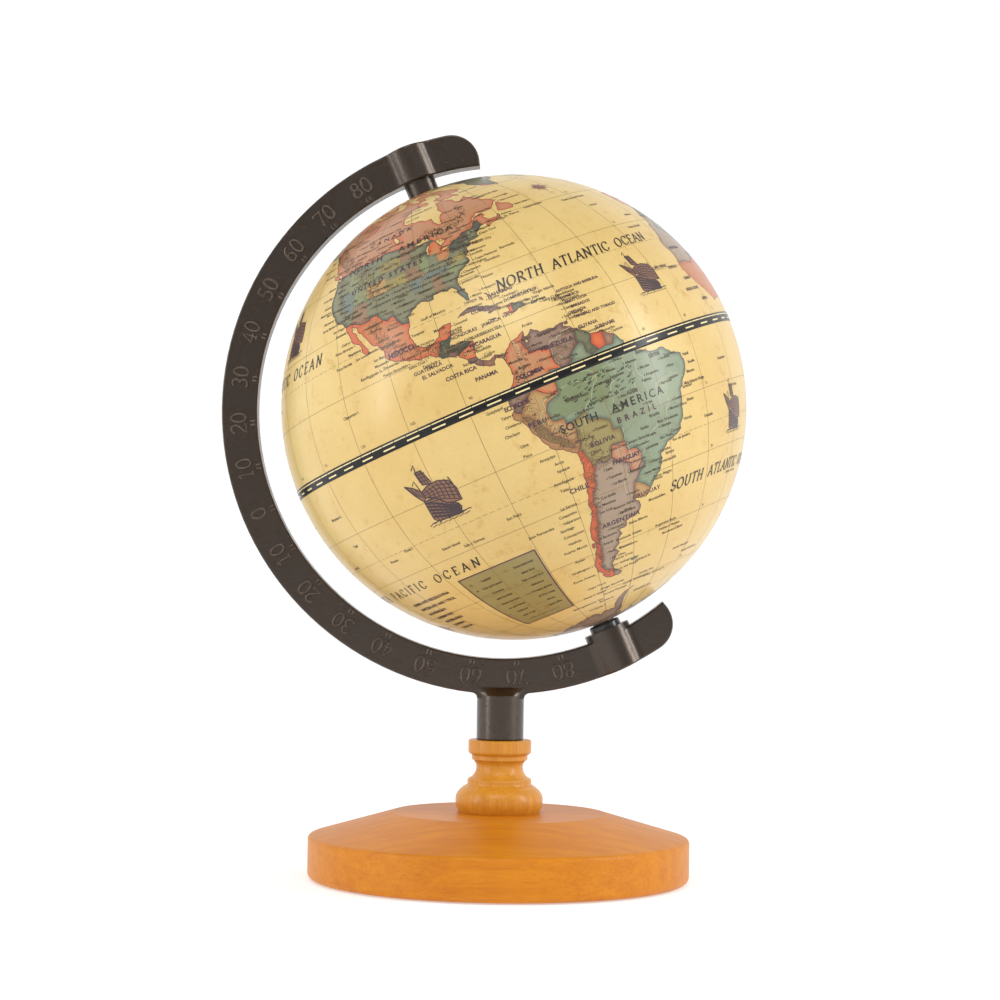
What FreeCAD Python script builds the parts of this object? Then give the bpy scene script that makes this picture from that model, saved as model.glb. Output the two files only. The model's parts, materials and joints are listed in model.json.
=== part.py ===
import FreeCAD, Part
import math
import os

# Desktop globe on a turned wooden stand, in millimetres.
# Origin: centre of the underside, on the table. +Z is up and -Y is the front.
# The curved arm stands in the XZ plane, on the -X side of the ball.

Vector = FreeCAD.Vector

# Base
BASE_DIAMETER = 114.3
BASE_HEIGHT = 20.2
BASE_SIDE_TOP = 12.9
BASE_FACET_RADIUS = 32.1
BASE_BOTTOM_GAP = 0.4
BASE_BOTTOM_ROUND = 1.8
BASE_RIM_ROUND = 1.2
PAD_DIAMETER = 102.0
PAD_THICKNESS = 1.2
PAD_SIDE_GAP = 0.5

# Post and the long screw through it
POST_TOP = 42.0
POST_TENON_RADIUS = 7.0
POST_TENON_LENGTH = 7.0
GLUE_GAP = 0.1
SCREW_RADIUS = 2.5
SCREW_BORE_RADIUS = 2.75
SCREW_TIP = 52.0
SCREW_HEAD_RADIUS = 4.75
SCREW_HEAD_HEIGHT = 3.4
SCREW_SEAT = 8.2
WASHER_RADIUS = 6.5
WASHER_THICKNESS = 1.0
COUNTERBORE_RADIUS = 7.5

# Arm
ARM_CENTRE_HEIGHT = 140.6
ARM_OUTER_RADIUS = 84.9
ARM_INNER_RADIUS = 74.3
ARM_THICKNESS = 8.0
ARM_HALF_SPAN = 107.0
ARM_TIP_ROUND = 8.5
ARM_EDGE_ROUND = 0.5
SLEEVE_RADIUS = 7.05
SLEEVE_SHOULDER = 55.3
SLEEVE_LEDGE_TOP = 57.8
SLEEVE_LEDGE_HALF_WIDTH = 7.2
SLEEVE_FILLET = 1.7
SLEEVE_BORE_DEPTH = 11.5
BOSS_RADIUS = 7.0
BOSS_FILLET = 4.0
COLLAR_FACE = 72.1

# Ball and its axis
TILT = 23.5
BALL_RADIUS = 69.85
BALL_OFFSET = 3.0
PRINT_THICKNESS = 0.25
SHELL_THICKNESS = 1.8
TAPE_WIDTH = 3.0
TAPE_THICKNESS = 0.13
POLE_HOLE_RADIUS = 3.9
RING_HEIGHT = 10.0
RING_THICKNESS = 1.8

# Rod, necks and bushes, with places measured along the axis from the ball's centre
ROD_RADIUS = 2.0
FIT_GAP = 0.05
ROD_TOP = 83.5
ROD_BOTTOM = -80.5
NECK_RADIUS = 4.75
NECK_FACE = 70.05
NECK_SEAT_DEPTH = 1.0
SOUTH_NECK_ROUND = 0.7
THRUST_WASHER_RADIUS = 3.4
THRUST_WASHER_THICKNESS = 0.3
PLUG_NOSE_RADIUS = 3.8
PLUG_NOSE_FACE = 69.65
PLUG_FLANGE_RADIUS = 9.0
PLUG_FLANGE_UNDERSIDE = 64.0
PLUG_HUB_RADIUS = 5.0
PLUG_HUB_END = 56.0
SET_SCREW_RADIUS = 1.5
SET_SCREW_LENGTH = 4.4
SET_SCREW_PLACE = -76.6
SET_SCREW_KEY = 1.5

tilt = math.radians(TILT)
axis_up = Vector(-math.sin(tilt), 0, math.cos(tilt))
axis_side = Vector(math.cos(tilt), 0, math.sin(tilt))
arm_centre = Vector(0, 0, ARM_CENTRE_HEIGHT)
ball_centre = arm_centre + axis_side * BALL_OFFSET
on_axis = FreeCAD.Placement(ball_centre, FreeCAD.Rotation(Vector(0, 1, 0), -TILT))


def tilted(shape):
    """Moves a shape made about +Z at the origin onto the ball's axis."""
    moved = shape.copy()
    moved.Placement = on_axis.multiply(moved.Placement)
    return moved


def disc(radius, low, high):
    """A cylinder about +Z, from height low to height high."""
    return Part.makeCylinder(radius, high - low, Vector(0, 0, low))


def tube(outer, inner, low, high):
    return disc(outer, low, high).cut(disc(inner, low - 1, high + 1))


def ball_of(radius):
    return Part.makeSphere(radius)


def turned(edges):
    """A solid of revolution about +Z from edges of a closed outline in the XZ plane."""
    face = Part.Face(Part.Wire(edges))
    return face.revolve(Vector(0, 0, 0), Vector(0, 0, 1), 360)


def at(radius, height):
    return Vector(radius, 0, height)


def line(a, b):
    return Part.makeLine(a, b)


def arc(a, middle, b):
    return Part.Arc(a, middle, b).toShape()


def smooth(points):
    """One smooth edge through the points."""
    curve = Part.BSplineCurve()
    curve.interpolate(points)
    return curve.toShape()


def on_circle(centre, radius, degrees):
    """A point on a circle in the XZ plane."""
    angle = math.radians(degrees)
    return centre + Vector(radius * math.cos(angle), 0, radius * math.sin(angle))


def base_disc():
    rim = BASE_DIAMETER / 2
    outline = [
        at(0, BASE_BOTTOM_GAP),
        at(rim, BASE_BOTTOM_GAP),
        at(rim, BASE_SIDE_TOP),
        at(BASE_FACET_RADIUS, BASE_HEIGHT),
        at(0, BASE_HEIGHT),
    ]
    solid = turned([line(a, b) for a, b in zip(outline, outline[1:] + outline[:1])])
    bottom_edges = [e for e in solid.Edges if is_ring(e, rim, BASE_BOTTOM_GAP)]
    solid = solid.makeFillet(BASE_BOTTOM_ROUND, bottom_edges)
    rim_edges = [e for e in solid.Edges if is_ring(e, rim, BASE_SIDE_TOP)]
    solid = solid.makeFillet(BASE_RIM_ROUND, rim_edges)
    recess = disc(PAD_DIAMETER / 2 + PAD_SIDE_GAP, 0, PAD_THICKNESS)
    counterbore = disc(COUNTERBORE_RADIUS, 0, SCREW_SEAT)
    socket_floor = BASE_HEIGHT - POST_TENON_LENGTH - GLUE_GAP
    socket = disc(POST_TENON_RADIUS + GLUE_GAP, socket_floor, BASE_HEIGHT + 1)
    bore = disc(SCREW_BORE_RADIUS, 0, BASE_HEIGHT)
    return solid.cut([recess, counterbore, socket, bore])


def is_ring(edge, radius, height):
    """True for a full circle about +Z of this radius at this height."""
    curve = edge.Curve
    if not isinstance(curve, Part.Circle):
        return False
    return abs(curve.Radius - radius) < 0.01 and abs(curve.Center.z - height) < 0.01


def base_felt_pad():
    return disc(PAD_DIAMETER / 2, 0, PAD_THICKNESS)


def base_screw():
    head_top = SCREW_SEAT - WASHER_THICKNESS
    head_bottom = head_top - SCREW_HEAD_HEIGHT
    head = disc(SCREW_HEAD_RADIUS, head_bottom, head_top)
    rounded = [e for e in head.Edges if is_ring(e, SCREW_HEAD_RADIUS, head_bottom)]
    head = head.makeFillet(1.4, rounded)
    shank = disc(SCREW_RADIUS, head_top - 0.5, SCREW_TIP)
    point = [e for e in shank.Edges if is_ring(e, SCREW_RADIUS, SCREW_TIP)]
    shank = shank.makeChamfer(0.7, point)
    screw = head.fuse(shank)
    slot_length = 5.2
    slot_width = 1.1
    slot_depth = 2.0
    slot = Part.makeBox(
        slot_length, slot_width, slot_depth, Vector(-slot_length / 2, -slot_width / 2, head_bottom)
    )
    crossed = slot.copy()
    crossed.rotate(Vector(0, 0, 0), Vector(0, 0, 1), 90)
    return screw.cut([slot, crossed])


def base_screw_washer():
    return tube(WASHER_RADIUS, SCREW_BORE_RADIUS, SCREW_SEAT - WASHER_THICKNESS, SCREW_SEAT)


def turned_post():
    """Top disc, fillet, cove, ring and bulb, turned in one piece with its tenon."""
    tenon_end = BASE_HEIGHT - POST_TENON_LENGTH
    neck = at(7.0, 33.7)
    belly = [at(9.7, 28.6), at(11.7, 27.2), at(12.75, 25.8), at(13.13, 24.0)]
    belly += [at(12.85, 22.0), at(12.05, BASE_HEIGHT)]
    edges = [
        line(at(SCREW_BORE_RADIUS, tenon_end), at(SCREW_BORE_RADIUS, POST_TOP)),
        line(at(SCREW_BORE_RADIUS, POST_TOP), at(8.9, POST_TOP)),
        arc(at(8.9, POST_TOP), at(9.29, 41.84), at(9.45, 41.45)),
        line(at(9.45, 41.45), at(9.45, 38.6)),
        arc(at(9.45, 38.6), at(9.2, 37.95), at(8.6, 37.6)),
        line(at(8.6, 37.6), at(8.38, 37.3)),
        line(at(8.38, 37.3), at(8.38, 36.1)),
        arc(at(8.38, 36.1), at(7.33, 35.1), neck),
        arc(neck, at(7.5, 31.95), at(8.9, 30.55)),
        arc(at(8.9, 30.55), at(9.4, 30.3), at(9.6, 29.9)),
        line(at(9.6, 29.9), at(9.6, 29.0)),
        line(at(9.6, 29.0), belly[0]),
        smooth(belly),
        line(belly[-1], at(POST_TENON_RADIUS, BASE_HEIGHT)),
        line(at(POST_TENON_RADIUS, BASE_HEIGHT), at(POST_TENON_RADIUS, tenon_end)),
        line(at(POST_TENON_RADIUS, tenon_end), at(SCREW_BORE_RADIUS, tenon_end)),
    ]
    return turned(edges)


def arm_plate():
    """The flat curved strip, symmetric about the direction opposite axis_side."""
    middle = 180 + TILT
    inner = ARM_INNER_RADIUS
    outer = ARM_OUTER_RADIUS
    round_orbit = outer - ARM_TIP_ROUND
    round_angle = math.degrees(math.asin(ARM_TIP_ROUND / round_orbit))
    straight_end = math.sqrt(round_orbit**2 - ARM_TIP_ROUND**2)

    def tip(side):
        """Inner corner, end of the straight, middle of the rounding and its end."""
        end = middle + side * ARM_HALF_SPAN
        orbit = middle + side * (ARM_HALF_SPAN - round_angle)
        centre = on_circle(arm_centre, round_orbit, orbit)
        return [
            on_circle(arm_centre, inner, end),
            on_circle(arm_centre, straight_end, end),
            on_circle(centre, ARM_TIP_ROUND, orbit + side * (90 - round_angle) / 2),
            on_circle(arm_centre, outer, orbit),
        ]

    north = tip(-1)
    south = tip(1)
    edges = [
        arc(north[0], on_circle(arm_centre, inner, middle), south[0]),
        line(south[0], south[1]),
        arc(south[1], south[2], south[3]),
        arc(south[3], on_circle(arm_centre, outer, middle), north[3]),
        arc(north[3], north[2], north[1]),
        line(north[1], north[0]),
    ]
    face = Part.Face(Part.Wire(edges))
    face.translate(Vector(0, -ARM_THICKNESS / 2, 0))
    return face.extrude(Vector(0, ARM_THICKNESS, 0))


def boss_bar():
    """A bar along the axis with a round front and back, blended into the plate."""
    half = ARM_THICKNESS / 2
    centre_y = half + BOSS_FILLET
    centre_x = math.sqrt((BOSS_RADIUS + BOSS_FILLET) ** 2 - centre_y**2)
    centre = Vector(centre_x, centre_y, 0)
    to_plate = Vector(0, -1, 0)
    to_axis = Vector(-centre_x, -centre_y, 0).normalize()
    on_plate = centre + to_plate * BOSS_FILLET
    on_blend = centre + (to_plate + to_axis).normalize() * BOSS_FILLET
    on_boss = centre + to_axis * BOSS_FILLET
    crown = Vector(0, BOSS_RADIUS, 0)

    def corner(point, x_side, y_side):
        return Vector(point.x * x_side, point.y * y_side, 0)

    edges = []
    for y_side in (-1, 1):
        for x_side in (-1, 1):
            plate_end = corner(on_plate, x_side, y_side)
            boss_end = corner(on_boss, x_side, y_side)
            edges.append(arc(plate_end, corner(on_blend, x_side, y_side), boss_end))
        left = corner(on_boss, -1, y_side)
        edges.append(arc(left, corner(crown, 1, y_side), corner(on_boss, 1, y_side)))
    for x_side in (-1, 1):
        edges.append(line(corner(on_plate, x_side, -1), corner(on_plate, x_side, 1)))
    face = Part.Face(Part.Wire(Part.__sortEdges__(edges)))
    reach = ARM_OUTER_RADIUS + 10
    face.translate(Vector(0, 0, -reach))
    return face.extrude(Vector(0, 0, 2 * reach))


def arm_ring():
    """All that lies between the arm's inner and outer radius, as deep as the bosses."""
    depth = 2 * BOSS_RADIUS + 4
    start = arm_centre - Vector(0, depth / 2, 0)
    outer = Part.makeCylinder(ARM_OUTER_RADIUS, depth, start, Vector(0, 1, 0))
    inner = Part.makeCylinder(ARM_INNER_RADIUS, depth, start, Vector(0, 1, 0))
    return outer.cut(inner)


def sleeve():
    """The round socket below the arm, with its sloping shoulder and side fillets."""
    barrel = disc(SLEEVE_RADIUS, POST_TOP, SLEEVE_SHOULDER)
    rounded = [e for e in barrel.Edges if is_ring(e, SLEEVE_RADIUS, POST_TOP)]
    barrel = barrel.makeFillet(0.4, rounded)
    half = ARM_THICKNESS / 2
    corner_x = math.sqrt(SLEEVE_RADIUS**2 - half**2)
    lower = [
        Vector(-corner_x, -half, SLEEVE_SHOULDER),
        Vector(corner_x, -half, SLEEVE_SHOULDER),
        Vector(corner_x, half, SLEEVE_SHOULDER),
        Vector(-corner_x, half, SLEEVE_SHOULDER),
    ]
    bulges = [
        Vector(0, -SLEEVE_RADIUS, SLEEVE_SHOULDER),
        Vector(SLEEVE_RADIUS, 0, SLEEVE_SHOULDER),
        Vector(0, SLEEVE_RADIUS, SLEEVE_SHOULDER),
        Vector(-SLEEVE_RADIUS, 0, SLEEVE_SHOULDER),
    ]
    width = SLEEVE_LEDGE_HALF_WIDTH
    upper = [
        Vector(-width, -half, SLEEVE_LEDGE_TOP),
        Vector(width, -half, SLEEVE_LEDGE_TOP),
        Vector(width, half, SLEEVE_LEDGE_TOP),
        Vector(-width, half, SLEEVE_LEDGE_TOP),
    ]
    ring_below = [arc(lower[i], bulges[i], lower[(i + 1) % 4]) for i in range(4)]
    ring_above = [line(upper[i], upper[(i + 1) % 4]) for i in range(4)]
    shoulder = Part.makeLoft([Part.Wire(ring_below), Part.Wire(ring_above)], True, True)
    fillet_x = SLEEVE_RADIUS + SLEEVE_FILLET
    orbit = ARM_OUTER_RADIUS + SLEEVE_FILLET
    fillet_z = ARM_CENTRE_HEIGHT - math.sqrt(orbit**2 - fillet_x**2)
    web_half = fillet_x * ARM_OUTER_RADIUS / orbit
    web_height = SLEEVE_LEDGE_TOP - fillet_z
    web = Part.makeBox(
        2 * web_half, ARM_THICKNESS, web_height, Vector(-web_half, -half, fillet_z)
    )
    for sign in (-1, 1):
        start = Vector(sign * fillet_x, -ARM_THICKNESS, fillet_z)
        web = web.cut(Part.makeCylinder(SLEEVE_FILLET, 2 * ARM_THICKNESS, start, Vector(0, 1, 0)))
    return barrel.fuse([shoulder, web])


def set_screw_at(shape):
    """Turns a shape made about +Z at the origin to the set screw's line, at the back."""
    moved = shape.copy()
    moved.rotate(Vector(0, 0, 0), Vector(1, 0, 0), -90)
    moved.translate(Vector(0, 0, SET_SCREW_PLACE))
    return tilted(moved)


def meridian_arm():
    bosses = tilted(boss_bar()).common(arm_ring())
    arm = arm_plate().fuse([bosses, sleeve()]).removeSplitter()
    arm = rounded_edges(arm)
    collar = disc(BOSS_RADIUS, -78, -COLLAR_FACE)
    arm = arm.fuse(tilted(collar)).removeSplitter()
    rod_hole = disc(ROD_RADIUS + FIT_GAP, ROD_BOTTOM - 0.5, ARM_OUTER_RADIUS + 5)
    neck_seat = disc(NECK_RADIUS + FIT_GAP, 60, neck_seat_place())
    screw_hole = disc(SET_SCREW_RADIUS + FIT_GAP, 0, BOSS_RADIUS + 3)
    sleeve_bore = disc(SCREW_RADIUS + FIT_GAP, POST_TOP - 1, POST_TOP + SLEEVE_BORE_DEPTH)
    return arm.cut([tilted(rod_hole), tilted(neck_seat), set_screw_at(screw_hole), sleeve_bore])


def neck_seat_place():
    """Where the upper neck ends inside the upper boss."""
    inner_face = math.sqrt(ARM_INNER_RADIUS**2 - BALL_OFFSET**2)
    return inner_face + NECK_SEAT_DEPTH


def rounded_edges(arm):
    """Softens the long edges of the casting on its inner and outer curve."""
    chosen = []
    for edge in arm.Edges:
        middle = edge.valueAt((edge.FirstParameter + edge.LastParameter) / 2)
        distance = math.hypot(middle.x - arm_centre.x, middle.z - arm_centre.z)
        off_curve = min(abs(distance - ARM_OUTER_RADIUS), abs(distance - ARM_INNER_RADIUS))
        if off_curve < 0.02 and abs(middle.y) > ARM_THICKNESS / 2 - 0.01:
            chosen.append(edge)
    return arm.makeFillet(ARM_EDGE_ROUND, chosen)


def axle_rod():
    rod = disc(ROD_RADIUS, ROD_BOTTOM, ROD_TOP)
    ends = [e for e in rod.Edges if isinstance(e.Curve, Part.Circle)]
    return tilted(rod.makeChamfer(0.4, ends))


def axle_set_screw():
    start = ROD_RADIUS + 0.05
    screw = disc(SET_SCREW_RADIUS, start, start + SET_SCREW_LENGTH)
    corners = [
        Vector(
            SET_SCREW_KEY / math.sqrt(3) * math.cos(math.radians(60 * i)),
            SET_SCREW_KEY / math.sqrt(3) * math.sin(math.radians(60 * i)),
            start + SET_SCREW_LENGTH - 1.6,
        )
        for i in range(7)
    ]
    key = Part.Face(Part.makePolygon(corners)).extrude(Vector(0, 0, 3))
    return set_screw_at(screw.cut(key))


def north_spacer():
    return tilted(tube(NECK_RADIUS, ROD_RADIUS + FIT_GAP, NECK_FACE, neck_seat_place() - 0.02))


def south_spacer():
    neck = disc(NECK_RADIUS, -COLLAR_FACE, -NECK_FACE)
    top = [e for e in neck.Edges if is_ring(e, NECK_RADIUS, -NECK_FACE)]
    neck = neck.makeFillet(SOUTH_NECK_ROUND, top)
    return tilted(neck.cut(disc(ROD_RADIUS + FIT_GAP, -80, -60)))


def thrust_washer(side):
    """Between a neck's face and the pole plug's nose; side is 1 north, -1 south."""
    places = [side * NECK_FACE, side * (NECK_FACE - THRUST_WASHER_THICKNESS)]
    return tilted(tube(THRUST_WASHER_RADIUS, ROD_RADIUS + 0.15, min(places), max(places)))


def half_of(shape, side):
    """The part of a shape north (1) or south (-1) of the equator."""
    span = 200
    low = 0 if side > 0 else -span
    block = Part.makeBox(2 * span, 2 * span, span, Vector(-span, -span, low))
    return shape.common(block)


def pole_hole():
    return disc(POLE_HOLE_RADIUS, -BALL_RADIUS - 5, BALL_RADIUS + 5)


def hemisphere(side):
    outer = BALL_RADIUS - PRINT_THICKNESS
    shell = ball_of(outer).cut(ball_of(outer - SHELL_THICKNESS)).cut(pole_hole())
    return tilted(half_of(shell, side))


def map_print(side):
    skin = ball_of(BALL_RADIUS).cut(ball_of(BALL_RADIUS - PRINT_THICKNESS)).cut(pole_hole())
    return tilted(half_of(skin, side))


def equator_tape():
    band = ball_of(BALL_RADIUS + TAPE_THICKNESS).cut(ball_of(BALL_RADIUS))
    return tilted(band.common(disc(BALL_RADIUS + 5, -TAPE_WIDTH / 2, TAPE_WIDTH / 2)))


def equator_joining_ring():
    inside = BALL_RADIUS - PRINT_THICKNESS - SHELL_THICKNESS - 0.05
    ring = tube(inside + 5, inside - RING_THICKNESS, -RING_HEIGHT / 2, RING_HEIGHT / 2)
    return tilted(ring.common(ball_of(inside)))


def pole_plug(side):
    """A flanged bush glued inside the shell, with its nose in the pole's hole."""
    inside = BALL_RADIUS - PRINT_THICKNESS - SHELL_THICKNESS - 0.05
    flange = disc(PLUG_FLANGE_RADIUS, PLUG_FLANGE_UNDERSIDE, BALL_RADIUS).common(ball_of(inside))
    nose = disc(PLUG_NOSE_RADIUS, PLUG_FLANGE_UNDERSIDE, PLUG_NOSE_FACE)
    hub = disc(PLUG_HUB_RADIUS, PLUG_HUB_END, PLUG_FLANGE_UNDERSIDE + 1)
    plug = flange.fuse([nose, hub]).removeSplitter()
    plug = plug.cut(disc(ROD_RADIUS + FIT_GAP, PLUG_HUB_END - 1, BALL_RADIUS + 1))
    if side < 0:
        plug.rotate(Vector(0, 0, 0), Vector(1, 0, 0), 180)
    return tilted(plug)


NODES = {
    "base_disc": base_disc(),
    "base_felt_pad": base_felt_pad(),
    "base_screw": base_screw(),
    "base_screw_washer": base_screw_washer(),
    "turned_post": turned_post(),
    "meridian_arm": meridian_arm(),
    "axle_rod": axle_rod(),
    "axle_set_screw": axle_set_screw(),
    "north_spacer": north_spacer(),
    "south_spacer": south_spacer(),
    "north_thrust_washer": thrust_washer(1),
    "south_thrust_washer": thrust_washer(-1),
    "northern_hemisphere": hemisphere(1),
    "southern_hemisphere": hemisphere(-1),
    "equator_joining_ring": equator_joining_ring(),
    "north_pole_plug": pole_plug(1),
    "south_pole_plug": pole_plug(-1),
    "northern_map_print": map_print(1),
    "southern_map_print": map_print(-1),
    "equator_tape": equator_tape(),
}

os.makedirs("parts", exist_ok=True)
for name, shape in NODES.items():
    shape.exportStep(f"parts/{name}.step")
    box = shape.BoundBox
    print(
        f"{name:22s} solids {len(shape.Solids)} valid {shape.isValid()} volume {shape.Volume:9.1f}"
        f" x {box.XMin:7.2f} {box.XMax:7.2f} y {box.YMin:6.2f} {box.YMax:6.2f}"
        f" z {box.ZMin:7.2f} {box.ZMax:7.2f}"
    )
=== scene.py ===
"""Desktop globe on a turned wooden stand: materials, printed map, embossed numerals, light and camera.

Lengths are in millimetres until they are multiplied by MM, and angles are in degrees until they are
used. Places on the ball are longitude and latitude in degrees, east and north positive.
"""

import json
import math
import random
from itertools import accumulate

import bpy
import numpy as np
from mathutils import Matrix, Vector
from mathutils.geometry import delaunay_2d_cdt
from mathutils.kdtree import KDTree


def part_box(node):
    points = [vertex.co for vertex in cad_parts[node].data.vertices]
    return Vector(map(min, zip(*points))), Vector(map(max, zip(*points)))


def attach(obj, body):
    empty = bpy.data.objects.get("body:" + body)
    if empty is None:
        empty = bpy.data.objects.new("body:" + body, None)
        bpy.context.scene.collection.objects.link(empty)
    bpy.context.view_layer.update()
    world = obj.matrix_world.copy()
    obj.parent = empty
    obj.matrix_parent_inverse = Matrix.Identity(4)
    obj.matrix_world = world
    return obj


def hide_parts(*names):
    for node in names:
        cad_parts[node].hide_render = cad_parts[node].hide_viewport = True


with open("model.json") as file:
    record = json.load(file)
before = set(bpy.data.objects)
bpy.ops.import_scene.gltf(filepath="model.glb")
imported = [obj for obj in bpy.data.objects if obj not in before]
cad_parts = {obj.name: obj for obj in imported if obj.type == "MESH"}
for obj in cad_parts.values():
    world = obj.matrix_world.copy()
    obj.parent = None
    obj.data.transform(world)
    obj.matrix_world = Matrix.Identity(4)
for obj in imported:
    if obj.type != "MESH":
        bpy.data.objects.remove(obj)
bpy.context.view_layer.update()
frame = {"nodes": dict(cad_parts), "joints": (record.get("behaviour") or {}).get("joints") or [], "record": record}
MM = 0.001

# ---- places taken from the frame -------------------------------------------------------------

SPIN = frame["joints"][0]
BALL_CENTRE = Vector(SPIN["pos_m"])
NORTH = Vector(SPIN["axis"]).normalized()
FRONT = Vector((0, -1, 0))
SIDE = FRONT.cross(NORTH) * -1

SKIN_NODES = ("northern_map_print", "southern_map_print")


def reach(node, centre):
    """Distance in metres from a centre to the node's farthest point."""
    return max((v.co - centre).length for v in frame["nodes"][node].data.vertices)


BALL_RADIUS = reach("northern_map_print", BALL_CENTRE)
SKIN_THICKNESS = 0.25 * MM
TAPE_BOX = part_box("equator_tape")
TAPE_RADIUS = (TAPE_BOX[1].y - TAPE_BOX[0].y) / 2
TAPE_WIDTH = 3.0 * MM
POLE_HOLE_LAT = 90 - math.degrees(math.asin(3.9 * MM / BALL_RADIUS))

BALL_OFFSET = 3.0 * MM
ARM_CENTRE = BALL_CENTRE - SIDE * BALL_OFFSET
ARM_OUTER = ARM_CENTRE.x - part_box("meridian_arm")[0].x
ARM_INNER = ARM_OUTER - 10.6 * MM
ARM_FACE = -4.0 * MM

LON_IN_FRONT = -78.7
SEAM_LON = -169.0
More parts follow.
